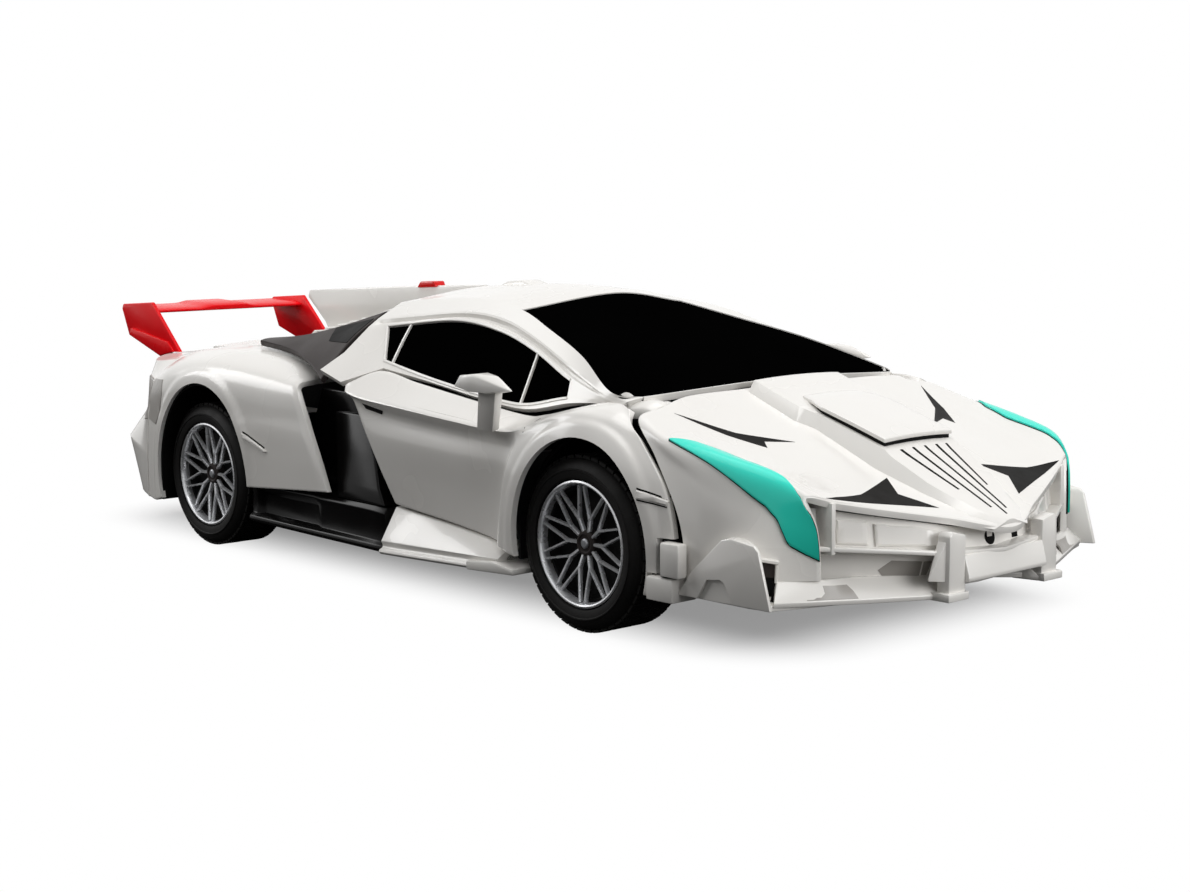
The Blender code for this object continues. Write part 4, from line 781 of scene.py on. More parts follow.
# Mesh lines in places on the skin, clear of the edges where those are eased
ARM_LINES = np.r_[0, np.linspace(0.12, 4.9, 58), 5], np.r_[0, np.linspace(0.32, 8.94, 104), 9]
# The part of the arm, in columns, over which the crease under the window line runs out
CREASE_END = (4.2, 6.0)
# How far across the car a cutter reaches through a side panel
SIDE_CUT = (60, 84)
# Where the fender's lower front corner makes room for the shoulder: extents along, across and up
SHOULDER_ROOM = (((141.6, 156), (58, 84), (8, 31.4)), ((138.6, 156), (58, 84), (8, 21.9)))
FRONT_WELL, FRONT_WELL_DEGREES = (47, 66.5), range(-2, 183, 5)
FENDER_BAR = ((135.2, 43.6), (143.6, 41.6), (144.8, 41.0), (144.2, 40.2), (135.4, 41.3))
# The door's slot in painted shade, the lines over and under the fender's bar in painted shadow, and the
# door's cut line
ARM_SHADE_AND_CUT_MARKS = (
    (((7.4, 57.0), (17.6, 55.4), (16.8, 54.2), (8.6, 55.4)), 0.12, 0.5),
    (((135.0, 44.2), (144.6, 41.9), (144.6, 41.5), (135.0, 43.7)), 0.15, 0.5),
    (((135.2, 41.2), (144.2, 39.8), (144.2, 39.5), (135.2, 40.8)), 0.15, 0.5),
    (((85.4, 60.0), (85.8, 60.0), (87.2, 54.6), (86.8, 54.6)), 0.06, 0.4),
)
# Along the sill: place, underside and top
SILL_LINE = ((20.3, 11.4, 25.6), (36, 11.9, 24.4), (52, 12.5, 23.0), (66, 13.0, 21.6), (77, 13.3, 20.5))
SILL_TIP, SILL_TIP_ACROSS = ((64, 12.7), (85.4, 13.7), (85.4, 15.4), (76, 16.6), (64, 15.4)), (61, 74.4)
MIRROR_HEAD = (
    (65.4, 72.4, 66.6), (65.1, 78.6, 66.9), (67.4, 78.2, 70.2), (67.4, 73.0, 69.8), (73.9, 72.6, 71.0),
    (73.9, 78.8, 70.8), (89.3, 76.4, 66.9), (89.3, 77.6, 67.1), (79.9, 73.2, 65.4), (79.9, 78.8, 65.8),
    (71.9, 73, 65.4), (71.9, 78.8, 65.8), (81.9, 75.5, 70.6),
)
MIRROR_STEM = (
    ((67.6, 70.4, 54.8), (75.4, 70.2, 54.6), (75.0, 72.6, 53.8), (68.0, 72.8, 53.8)),
    ((73.0, 73.6, 66.4), (81.6, 73.6, 66.4), (81.2, 76.4, 66.4), (73.4, 76.4, 66.4)),
)


def arch_distance(points, arch):
    """How far points lie outside a wheel arch, in mm, seen from the side."""
    middle, wide, high = arch
    x, z = (points[..., 0] - middle) / wide, np.maximum(points[..., 2] - AXLE_Z, 0) / high
    return (np.hypot(x, z) - 1) * 0.5 * (wide + high)


def arch_cutter(arch, side):
    middle, wide, high = arch
    return Shape().prism(ellipse((middle, AXLE_Z), wide, high), "Y", *across(side, SIDE_CUT), 0)


def bow(arch, wider, higher, degrees):
    """A line over the axle, wider and higher than a wheel arch by these sizes."""
    middle, wide, high = arch
    turns = [math.radians(a) for a in degrees]
    return [(middle + (wide + wider) * math.cos(a), AXLE_Z + (high + higher) * math.sin(a)) for a in turns]


def arm_bones(name, side, body):
    """The arm's inner frame, as in the CAD, with room for the sill taken out."""
    source = frame["nodes"][f"arm_frame_{name}"]
    mesh = source.data.copy()
    mesh.transform(source.matrix_world)
    whole = bmesh.new()
    whole.from_mesh(mesh)
    bmesh.ops.remove_doubles(whole, verts=whole.verts, dist=0.01 * MM)
    whole.to_mesh(mesh)
    whole.free()
    bones = shown(f"{body}_frame", mesh, "frame_plastic")
    room = [section(x, side, (
        (70.4, low + 3.6), (80, low + 3.6), (80, top + 3), (61.5, top + 3), (62.8, top)))
        for x, low, top in SILL_LINE]
    carve(bones, Shape().loft(room))
    settle_on(bones, "frame_plastic", body, f"arm_frame_{name}")


for name, side in SIDES.items():
    body = f"arm_{name}"
    outward = (0, side, 0.4)
    creased, smooth = (Skin(ARM_ROWS, side, outward, row_creases=rows) for rows in ((1,), ()))
    skin = Blended(creased, smooth, *CREASE_END)
    u, v = places(*ARM_LINES)
    lip = ARCH_LIP * step_up(arch_distance(skin.at(u, v), FRONT_ARCH), *FRONT_LIP)
    panel = Shape().wall(*skin.lay(u, v, lip), PANEL, edges=(0.5, 0.6, 1.8, 0.7))
    panel = panel.raw(f"{body}_panel", "white_body")
    rooms = [Shape().side_block(side, *extents, 0) for extents in SHOULDER_ROOM]
    carve(panel, arch_cutter(FRONT_ARCH, side), *rooms)
    settle_on(panel, "white_body", body, f"arm_shell_{name}")
    over = ground_of(panel)
    plates(f"{body}_fender_bar", "white_body", body, over, name, (FENDER_BAR, 0.7, 1.0, 0.3))
    plates(f"{body}_slot_and_cut_lines", "shade", body, over, name, *ARM_SHADE_AND_CUT_MARKS)

    # The black well inside the front arch is painted shade
    outer, inner = (bow(FRONT_ARCH, *more, FRONT_WELL_DEGREES) for more in ((1.6, 1.0), (0.4, -0.4)))
    well = Shape().prism(outer + inner[::-1], "Y", *across(side, FRONT_WELL), 0)
    well.done(f"{body}_wheel_well", "shade", body)

    arm_bones(name, side, body)
    sill = Shape().loft([section(x, side, (
        (60.8, low), (73.4, low), (74.2, low + 0.8), (73.8, low + 1.6), (72.6, low + 2.2), (72.6, low + 3.0),
        (73.2, low + 4.0), (67.0, top), (60.8, top))) for x, low, top in SILL_LINE], 0.35, angle=40.0)
    sill.prism(SILL_TIP, "Y", *across(side, SILL_TIP_ACROSS), 0.5)
    sill.done(f"{body}_sill", "white_body", body)

    mirror = Shape().hull(on_side(side, MIRROR_HEAD), 0.7)
    mirror.loft([on_side(side, ring) for ring in MIRROR_STEM], 0.5)
    mirror.done(f"{body}_mirror", "white_body", body, f"mirror_{name}")

# Cabin

CABIN_ROWS = (
    ((-15.5, 69.6, 66.2), (-12.8, 62.0, 71.4), (-12.2, 52.6, 79.2), (-13, 48.0, 81.7), (-14, 38.0, 86.4),
     (-14, 0, 90.4)),
    ((-4.4, 69.6, 62.9), (-5.0, 62.0, 69.8), (-8.2, 51.6, 79.5), (-6.5, 47.4, 82.3), (-7, 37.0, 87.2),
     (-7, 0, 90.9)),
    ((6.6, 60.9, 67.4), (4.6, 58.9, 69.5), (-4.6, 50.6, 79.8), (1, 46.8, 83.0), (0, 36.0, 88.0),
     (0, 0, 91.4)),
    ((29, 60.7, 64.8), (29, 60.1, 65.7), (27.5, 48.3, 82.9), (30, 45.4, 85.4), (24, 34.5, 88.8),
     (24, 0, 92.0)),
    ((52, 60.0, 61.5), (52, 59.4, 62.4), (50, 49.0, 80.8), (49, 45.8, 84.0), (43, 34.2, 86.0), (49, 0, 90.2)),
    ((73, 59.0, 59.4), (71.4, 58.3, 60.5), (69.4, 51.3, 75.8), (68, 48.8, 78.8), (63, 40.2, 81.2),
     (73, 0, 84.4)),
    ((92, 58.0, 62.4), (90, 57.2, 63.6), (89, 54.9, 68.7), (90, 53.4, 71.2), (87, 48.6, 75.0), (97, 0, 77.4)),
    ((106, 58.6, 63.2), (106, 58.5, 64.2), (106.4, 58.4, 65.1), (107.4, 58.2, 66.0), (109.4, 57.9, 66.8),
     (120, 0, 70.0)),
    ((112, 58.4, 61.4), (113, 58.2, 62.4), (114, 57.8, 63.4), (115, 57.0, 64.4), (117.6, 53.0, 65.6),
     (122.6, 0, 67.8)),
)
# Where the windows lie on the cabin: rows from the rear, columns from the foot of a side to the middle
WINDOW_ROWS, WINDOW_COLUMNS, SCREEN_ROWS, SCREEN_COLUMN = (2, 6), (1, 2), (4, 7.9375), 4
# The rows that a side window's slanted bars have at their foot and top
WINDOW_BARS = ((2.17, 2.35), (4.94, 5.07))
# The groove along each edge of the roof, and where it starts, is full, fades and ends
GROOVE_DEPTH, GROOVE_COLUMNS, GROOVE_ROWS = 0.9, (2.25, 2.35, 2.65, 2.75), (0.15, 0.6, 6.4, 7.0)
# A black sheet inside the cabin, under the windows: painted shade; extents along, across and up
CABIN_SHADE_SHEET = ((4, 100), (-50, 50), (56.0, 57.0))
ROOF_FAIRING = ((-5, 4.5, 90.6), (15, 5.0, 90.8), (-1, 3.4, 92.5), (7, 3.8, 93.0))
cabin = Skin(CABIN_ROWS, across=True, row_creases=(1, 2), column_creases=(1, 2, 3, 4, 6, 7, 8, 9))

half_lines = [*even(0, 1, 0.2), *even(1, 2, 0.125)[1:], *even(2, 4, 0.1)[1:], *even(4, 5, 0.05)[1:]]
last_row, last_column = cabin.top
u, v = places(even(0, last_row), [*half_lines, *(last_column - k for k in reversed(half_lines[:-1]))])
from_foot = np.minimum(v, last_column - v)
groove = -GROOVE_DEPTH * within(from_foot, *GROOVE_COLUMNS) * within(u, *GROOVE_ROWS)
mid_u, mid_v = ((a[:-1, :-1] + a[1:, 1:]) / 2 for a in (u, from_foot))


def between(values, limits):
    return (values > limits[0]) & (values < limits[1])


glazed = between(mid_u, WINDOW_ROWS) & between(mid_v, WINDOW_COLUMNS)
glazed |= between(mid_u, SCREEN_ROWS) & (mid_v > SCREEN_COLUMN)
roof = Shape().wall(*cabin.lay(u, v, groove), PANEL, keep=~glazed)
roof.done("cabin_roof_and_pillars", "white_body", "torso", "cabin_shell", smooth=22.0)
fairing = [point for side in SIDES.values() for point in on_side(side, ROOF_FAIRING)]
Shape().hull(fairing, 0.6).done("roof_fairing", "white_body", "torso")

# Each side window a little below the cabin's skin, with a white frame round it and two slanted bars
for name, side in SIDES.items():
    along, up = even(*WINDOW_ROWS), np.linspace(*WINDOW_COLUMNS, 9)
    pane = cabin.wall(along, cabin.to_side(side, up), thick=1.2, lift=-0.7)
    pane.done(f"side_window_{name}_pane", "window", "torso", f"side_window_{name}")
    bars = Shape()
    for column in WINDOW_COLUMNS:
        bars.strip(cabin, along, cabin.to_side(side, column), half=0.45, height=0.3, sink=1.0)
    bars.strip(cabin, WINDOW_ROWS[0], cabin.to_side(side, up), half=0.4, height=0.3, sink=1.0)
    for ends in WINDOW_BARS:
        slant = np.linspace(*ends, 9)
        bars.strip(cabin, slant, cabin.to_side(side, up), half=0.32, height=0.0, sink=1.0)
    bars.done(f"side_window_{name}_frame", "white_body", "torso")

columns = np.linspace(SCREEN_COLUMN, last_column - SCREEN_COLUMN, 33)
screen = cabin.wall(even(*SCREEN_ROWS), columns, thick=1.4, lift=-0.35)
screen.done("windscreen_pane", "window", "torso", "windscreen")
Shape().block(*CABIN_SHADE_SHEET, 0.2).done("cabin_floor", "shade", "torso")

# Engine cover, fin and buttresses

COVER_ROWS = (
    ((-15.6, 42.0, 84.2), (-15.6, 21.0, 87.2), (-15.6, 0, 88.2)),
    ((-40, 42.6, 77.4), (-40, 21.5, 80.0), (-40, 0, 80.6)),
    ((-70, 43.0, 70.8), (-70, 21.5, 73.0), (-70, 0, 73.6)),
    ((-100, 43.0, 68.0), (-100, 21.5, 69.6), (-100, 0, 70.0)),
    ((-124, 43.0, 66.6), (-124, 21.5, 67.8), (-124, 0, 68.2)),
)
FIN = ((-17, 90.6), (-60, 89.0), (-122, 85.6), (-123, 83.0), (-112, 74.0), (-108, 68.4), (-70, 71.4),
       (-40, 78.4), (-17, 86.0))
FIN_LAMP = ((-53, 88.6), (-42, 89.2), (-43, 91.2), (-51, 90.9))
FIN_HALF, FIN_LAMP_HALF = 1.5, 2.4
# Under the slats on each side: a black plate of painted shade, in place of a well
WELL = ((-31, 8), (-31, 28), (-97, 21), (-97, 8))
SLAT, SLAT_ENDS = ((-4.2, -0.3), (-1.0, 1.9), (0.4, 1.7), (0.0, 0.4), (-3.0, -0.9)), (8.2, 27.0)
SLAT_START, SLAT_STEP, SLAT_COUNT = (-36, 0, 80.2), Vector((-8.8, 0, -1.55)) * MM, 7
BUTTRESS_ROWS = (
    ((-14.8, 43.4, 83.9), (-39, 43.8, 78.2), (-62, 44.0, 73.8), (-84, 44.4, 71.6)),
    ((-17, 56.0, 75.0), (-39, 52.0, 73.2), (-60, 49.0, 71.8), (-84, 46.6, 71.4)),
    ((-19, 67.4, 62.6), (-37, 60.4, 67.4), (-58, 53.6, 69.8), (-84, 48.2, 71.0)),
)
# The notch in each buttress is a black plate of painted shade
BUTTRESS_NOTCH_SHADE = ((-17.6, 81.2), (-41.5, 77.0), (-34.4, 73.4), (-18.6, 73.8))

cover = Skin(COVER_ROWS, across=True).wall(even(0, 4), even(0, 4), PANEL, (0.5,) * 4)
cover.prism(FIN, "Y", -FIN_HALF, FIN_HALF, 0.6)
cover = cover.done("engine_cover_and_fin", "white_body", "torso", "engine_cover")
wells = [([(x, side * y) for x, y in WELL], 0.15, 0.8, 0.0, 4.0) for side in SIDES.values()]
plates("engine_cover_wells", "shade", "torso", ground_of(cover), "top", *wells)
for name, side in SIDES.items():
    slat = Shape().prism(SLAT, "Y", *across(side, SLAT_ENDS), 0.2)
    slats = moved(slat.raw(f"engine_cover_slats_{name}", "white_body"), SLAT_START)
    grow(slats, ROW, "white_body", Count=SLAT_COUNT, Step=SLAT_STEP, Narrowing=0.035)
    settle_on(slats, "white_body", "torso")
lamp = Shape().prism(FIN_LAMP, "Y", -FIN_LAMP_HALF, FIN_LAMP_HALF, 0.5)
lamp.done("fin_lamp", "red_lens", "torso")
for name, side in SIDES.items():
    blade = Skin(BUTTRESS_ROWS, side, (0, side, 1)).wall(even(0, 2), even(0, 3), PANEL, (0.6,) * 4)
    blade = blade.done(f"buttress_{name}_blade", "dark_grey", "torso", f"buttress_{name}")
    plates(f"buttress_{name}_notch", "shade", "torso", ground_of(blade), name, (BUTTRESS_NOTCH_SHADE, 0.15, 0.6))

# Rear base (the robot's legs)

FENDER_ROWS = (
    ((-34, 49.0, 61.6), (-48, 46.5, 65.4), (-66, 45.0, 67.6), (-88, 44.6, 68.4), (-108, 45.5, 67.6),
     (-122.5, 47.0, 65.4)),
    ((-32.5, 60.0, 61.4), (-47, 60.0, 64.8), (-66, 60.5, 66.8), (-88, 61.0, 67.4), (-108, 60.5, 66.0),
     (-122, 59.0, 62.6)),
    ((-29, 69.4, 59.4), (-45, 70.2, 60.4), (-66, 71.4, 61.4), (-88, 72.2, 61.6), (-107, 71.4, 59.6),
     (-122, 69.0, 55.5)),
    ((-21.5, 71.2, 47.5), (-42, 72.4, 47.5), (-64, 73.4, 47.0), (-88, 74.0, 46.0), (-110, 73.4, 45.0),
     (-123, 71.2, 43.0)),
    ((-15.5, 71.6, 37.0), (-38, 72.6, 36.5), (-62, 73.4, 36.0), (-88, 74.0, 35.0), (-112, 73.6, 32.0),
     (-123.5, 71.8, 29.0)),
    ((-11.0, 71.4, 27.0), (-34, 72.4, 25.6), (-60, 73.0, 24.0), (-88, 73.6, 24.0), (-113, 73.4, 14.0),
     (-124, 71.6, 13.4)),
)
FENDER_LINES = np.r_[0, np.linspace(0.06, 4.94, 70), 5], np.r_[0, np.linspace(0.22, 4.95, 76), 5]
REAR_BAR = ((-56.4, 42.6), (-44.6, 38.2), (-43.6, 37.4), (-44.4, 37.0), (-56.2, 41.0))
# A dark line along the top of the rear bar: painted shadow
REAR_BAR_SHADOW = ((-56.4, 43.2), (-44.4, 38.7), (-44.6, 38.2), (-56.4, 42.6))
# The rear vent is a grey plate: painted shade in place of a recess
REAR_VENT = ((-110.6, 57.0), (-121.6, 56.4), (-122.4, 42.0), (-114.6, 40.6), (-111.4, 45.0), (-110.2, 52.0))
# Across the car: the rear wheel well's lining, its inner wall and the ring behind the wheel, with its foot;
# all are black as painted shade
WELL_LINING, WELL_WALL, WELL_RING, RING_FOOT = (46, 68.0), (44.5, 46), (46, 72.9), 13.9
# Along the black skirt: place, underside, top and how far its side is set in
SKIRT_LINE = ((-60, 11.8, 25.5, 0.0), (-57, 11.7, 25.5, 0.0), (-55.5, 11.7, 25.5, 2.2),
              (-24, 11.2, 25.2, 2.2), (-19, 11.1, 25.1, 0.3), (4, 10.8, 24.9, 0.3),
              (10, 10.7, 24.8, 0.0), (16, 10.6, 24.4, 0.0))
LEG_WALL, LEG_WALL_ACROSS = ((-52, 24.6), (13, 24.6), (7, 45), (-5, 58), (-30, 58.5), (-36, 45)), (57, 59.4)
LEG_BOSS = ((-60, -50), (42.3, 58), (14, 24))
LEG_BULGE = (
    ((-13, 59, 25), (15, 59, 25), (14.6, 67.6, 24.8), (-10, 67.8, 25.2)),
    ((-14, 59, 31), (11, 59, 31), (10.4, 66.4, 30.0), (-12, 66.8, 30.6)),
    ((-17, 59, 40), (6, 59, 40), (4.0, 63.0, 39.0), (-16, 64.0, 39.6)),
    ((-22, 59, 52), (-4, 59, 52), (-5.0, 60.4, 51.6), (-21, 60.8, 51.8)),
)


def rear_fender(name, side):
    skin = Skin(FENDER_ROWS, side, (0, side, 0.6))
    u, v = places(*FENDER_LINES)
    base = skin.at(u, v)
    lip = step_up(arch_distance(base, REAR_ARCH), *REAR_LIP) * step_up(base[..., 0], *REAR_LIP_ALONG)
    fender = Shape().wall(*skin.lay(u, v, ARCH_LIP * lip), PANEL, edges=(0.5, 0.5, 2.2, 0.4))
    fender = carve(fender.raw(f"rear_fender_{name}_panel", "white_body"), arch_cutter(REAR_ARCH, side))
    settle_on(fender, "white_body", "rear_base", f"rear_fender_{name}")
    for label, finish, *drawn in (("bar", "white_body", REAR_BAR, 0.7, 1.0, 0.25),
                                  ("vent", "grey_body", REAR_VENT, 0.2, 0.7, 0.2, 3.0),
                                  ("line", "shade", REAR_BAR_SHADOW, 0.08, 0.4)):
        plates(f"rear_fender_{name}_{label}", finish, "rear_base", ground_of(fender), name, drawn)


def rear_wheel_well(name, side):
    """The lining of the rear arch, with an inner wall and a ring that reaches down behind the wheel, all
    black as painted shade.
    """
    def line(wider):
        return bow(REAR_ARCH, wider, wider, range(0, 181, 5))

    well = Shape().prism(line(1.5) + line(0.3)[::-1], "Y", *across(side, WELL_LINING), 0)
    well.prism(line(-0.4), "Y", *across(side, WELL_WALL), 0)
    back = REAR_ARCH[0] - REAR_ARCH[1]
    foot = [(back + 0.05, RING_FOOT), (back + 0.9, RING_FOOT)]
    well.prism(line(-0.05) + foot + line(-0.9)[::-1], "Y", *across(side, WELL_RING), 0)
    well.done(f"rear_{name}_wheel_well", "shade", "rear_base")


def leg_side(name, side):
    """The black skirt between the wheels, and the wall with its bulge behind the door."""
    leg = Shape().loft([section(x, side, (
        (57.2, low), (69.0, low), (69.9, low + 0.9), (69.6, low + 2.2), (68.3 - inset, low + 3.2),
        (68.0 - inset, top - 4.4), (68.5 - inset * 0.3, top - 1.6), (67.4, top), (57.2, top)))
        for x, low, top, inset in SKIRT_LINE], 0.3, angle=38.0)
    leg.prism(LEG_WALL, "Y", *across(side, LEG_WALL_ACROSS))
    leg.loft([on_side(side, ring) for ring in LEG_BULGE], 1.2, angle=20.0, segments=3)
    leg.side_block(side, *LEG_BOSS)
    leg.done(f"leg_{name}_side", "black_gloss", "rear_base", f"leg_frame_{name}")


for name, side in SIDES.items():
    rear_fender(name, side)
    rear_wheel_well(name, side)
    leg_side(name, side)

# Rear bumper with its lamps, and the wing

BUMPER_ROWS = (
    ((-123.1, 47.0, 65.4), (-134, 44.5, 63.6), (-144, 34.0, 62.8), (-147, 17.0, 62.8), (-148, 0, 62.8)),
    ((-122.6, 59.0, 62.6), (-140.5, 57.2, 61.2), (-163, 40.0, 61.2), (-172, 20.0, 61.0), (-175, 0, 61.0)),
    ((-122.6, 69.0, 55.5), (-141.3, 59.5, 55.6), (-162, 42.0, 56.0), (-170, 21.0, 56.2), (-172.5, 0, 56.2)),
    ((-123.6, 71.2, 43.0), (-141.5, 60.2, 44.6), (-161, 44.0, 42.0), (-166, 22.0, 42.0), (-167, 0, 42.0)),
    ((-124.1, 71.8, 29.0), (-149.5, 64.2, 33.4), (-162, 46.0, 32.0), (-167, 23.0, 31.0), (-168, 0, 31.0)),
    ((-124.6, 71.6, 13.4), (-140, 64.5, 14.6), (-154, 45.0, 17.0), (-159, 22.0, 18.0), (-160, 0, 18.0)),
)
TAIL_PANEL = ((-54, 54.2), (54, 54.2), (50, 44.0), (20, 40.5), (-20, 40.5), (-50, 44.0))
# The tail's flank is a grey plate, a shade darker than the body: painted shade
TAIL_FLANK = ((-124.4, 56.0), (-136.5, 56.4), (-141.5, 54.5), (-142.0, 46.4), (-133.0, 40.6), (-125.2, 41.6))
GRILLE_BAR = ((0.8, -0.9), (0.0, 0.9), (-1.2, 0.9), (-0.4, -0.9))
GRILLE_START, GRILLE_STEP = (-171.6, 0, 51.6), Vector((1.15, 0, -2.9)) * MM
GRILLE_HALF, GRILLE_COUNT = 19, 4
# Where a tail lamp lies on the bumper
LAMP_ROWS, LAMP_COLUMNS = np.linspace(2.25, 2.75, 13), np.linspace(1.5, 2.7, 41)
REAR_DECK, REAR_DECK_Z = ((-120, 36), (-120, 46.6), (-124.6, 46.2), (-134, 44), (-142, 36)), (60.4, 61.9)
WING_END = ((-160.5, 61.8), (-166.5, 61.5), (-174, 58.9), (-199, 66.5), (-204, 77.0), (-203, 78.8),
            (-180.5, 80.2))
WING_FOOT = ((-163.5, 61.9), (-174, 59.7), (-197.5, 66.8), (-196.0, 69.6), (-168.0, 65.4))
WING_SECTION = ((-202.5, 77.0), (-192, 76.1), (-184, 75.7), (-181, 76.0), (-180.8, 76.8), (-184, 77.6),
                (-193, 77.9), (-202.5, 78.2))
WING_END_ACROSS, WING_FOOT_ACROSS = (34.3, 36.0), (35.6, 36.9)
WING_HALF = 34.2
# The wing's raised middle: its height, the distances out where it starts and is full, and the height above
# which the section's points rise with it
WING_RISE, WING_RISE_ACROSS, WING_RISE_FROM = 0.9, (13, 7), 76

bumper = Skin(BUMPER_ROWS, outward=(-1, 0, 0.2), across=True, row_creases=(1, 2, 3, 4))
tail = bumper.wall(even(0, 5), even(0, 8), PANEL, (0.4, 0.5, 0.4, 0.4))
tail = ground_of(tail.done("rear_bumper_panel", "white_body", "rear_base", "rear_bumper"))
plates("tail_panel", "black_trim", "rear_base", tail, "rear", (TAIL_PANEL, 0.5, 1.2, 0.3, 3.0))
for name, side in SIDES.items():
    columns = bumper.to_side(side, LAMP_COLUMNS)
    lamp = bumper.wall(LAMP_ROWS, columns, thick=1.5, edges=(0.4,) * 4, lift=1.9)
    lamp.done(f"tail_lamp_{name}", "red_lens", "rear_base", f"tail_light_{name}")
    plates(f"tail_flank_{name}", "grey_body", "rear_base", tail, name, (TAIL_FLANK, 0.25, 0.7, 0.2, 3.0))
grille = Shape().prism(GRILLE_BAR, "Y", -GRILLE_HALF, GRILLE_HALF, 0.2).raw("tail_grille", "black_gloss")
moved(grille, GRILLE_START)
grow(grille, ROW, "black_gloss", Count=GRILLE_COUNT, Step=GRILLE_STEP, Narrowing=0.02)
settle_on(grille, "black_gloss", "rear_base")
for name, side in SIDES.items():
    deck = Shape().prism([(x, side * y) for x, y in REAR_DECK], "Z", *REAR_DECK_Z, 0.3)
    deck.done(f"rear_deck_{name}", "black_trim", "rear_base")
for name, side in SIDES.items():
    wing_end = Shape().prism(WING_END, "Y", *across(side, WING_END_ACROSS), 0.45)
    wing_end.prism(WING_FOOT, "Y", *across(side, WING_FOOT_ACROSS), 0.5)
    wing_end.done(f"wing_end_{name}", "red_wing", "rear_base", f"wing_endplate_{name}")

rings = []
for y in np.linspace(-WING_HALF, WING_HALF, 37):
    rise = WING_RISE * step_up(abs(y), *WING_RISE_ACROSS)
    rings.append([(x, y, z + rise * (z > WING_RISE_FROM)) for x, z in WING_SECTION])
Shape().loft(rings, 0.3, angle=45.0).done("wing_plane", "red_wing", "rear_base", "wing_blade")

# Nose and headlights

NOSE_ROWS = (
    ((150.8, 69.3, 18.2), (148.4, 69.8, 36.0), (137.8, 68.0, 51.6), (127.0, 64.2, 61.2), (125.6, 54.0, 63.6),
     (124.0, 42.0, 65.8), (123.8, 20.0, 66.2), (124.2, 0, 66.8)),
    ((155.6, 69.0, 18.2), (154.4, 69.2, 33.0), (149.0, 68.0, 48.2), (140.0, 66.0, 57.2), (139.0, 54.0, 58.0),
     (139.5, 42.0, 58.4), (140.0, 20.0, 60.0), (141.0, 0, 60.6)),
    ((159.5, 68.4, 18.2), (159.5, 68.4, 30.0), (159.0, 67.4, 44.0), (158.0, 64.6, 53.4), (157.5, 54.0, 52.2),
     (158.0, 42.0, 51.4), (159.0, 20.0, 52.6), (160.5, 0, 53.0)),
    ((171.0, 66.8, 18.2), (171.5, 66.6, 29.0), (171.5, 65.2, 40.6), (172.0, 61.6, 50.0), (173.5, 51.5, 47.8),
     (174.5, 40.0, 46.0), (177.5, 20.0, 45.2), (181.0, 0, 44.2)),
    ((183.4, 53.4, 18.2), (183.5, 53.4, 26.0), (183.0, 54.2, 36.0), (181.0, 56.2, 44.4), (185.0, 47.0, 42.6),
     (189.0, 38.0, 40.8), (197.0, 19.0, 37.2), (204.0, 0, 33.6)),
)
NOSE_LINES = np.r_[0, np.linspace(0.05, 3.92, 62), 4]
# What is cut away under the nose for the splitter, right across it
NOSE_UNDERCUT, UNDERCUT_HALF = ((175.4, 10), (215, 10), (215, 23.2), (176.6, 23.2)), 80
# The headlight's upper and lower edges, in places on the nose
LENS_TOP = ((1.08, 3.0), (1.44, 3.36), (1.94, 3.52), (2.66, 3.42), (3.2, 3.3), (3.6, 3.1), (3.87, 2.86),
            (3.97, 2.4))
LENS_FOOT = ((1.08, 2.96), (1.45, 2.85), (1.98, 2.67), (2.6, 2.45), (3.17, 2.24), (3.37, 2.03), (3.54, 1.5),
             (3.75, 1.37), (3.97, 1.26))
# How far the dark rim reaches past the lens, in places on the nose: round it, and at its front end
LENS_RIM, LENS_RIM_FRONT = 0.03, 0.012

nose = Skin(NOSE_ROWS, outward=(0.3, 0, 1), across=True)
panel = nose.wall(NOSE_LINES, even(0, nose.top[1]), PANEL, edges=(0.6, 1.2, 0.4, 0.4))
undercut = Shape().prism(NOSE_UNDERCUT, "Y", -UNDERCUT_HALF, UNDERCUT_HALF, 0)
panel = carve(panel.raw("nose_panel", "white_body"), undercut)
settle_on(panel, "white_body", "nose", "nose_shell")
hood = ground_of(panel)


def headlight(name, side, finish, *nodes, wider, lift, thick, edge):
    """A lens that wraps over the nose's shoulder, from its pointed rear tip to its broad foot."""
    us = np.linspace(LENS_TOP[0][0] - LENS_RIM * wider, LENS_TOP[-1][0] + LENS_RIM_FRONT * wider, 65)
    tops, feet = read(LENS_TOP, us) + LENS_RIM * wider, read(LENS_FOOT, us) - LENS_RIM * wider
    shares = np.linspace(0, 1, 21)
    v = feet[:, None] + (tops - feet)[:, None] * shares
    u = np.repeat(us[:, None], shares.size, axis=1)
    shape = Shape().wall(*nose.lay(u, nose.to_side(side, v), lift), thick, (0, 0, edge, edge))
    shape.done(f"headlight_{name}_{finish}", finish, "nose", *nodes)


for name, side in SIDES.items():
    headlight(name, side, "turquoise_lens", f"headlight_{name}", wider=0.0, lift=0.7, thick=1.2, edge=0.3)
    headlight(name, side, "shade", wider=1.0, lift=0.12, thick=0.6, edge=0.0)

# The raised middle of the hood: a pedestal that runs on to the tip, and a scoop plate over a black slab of
# painted shade

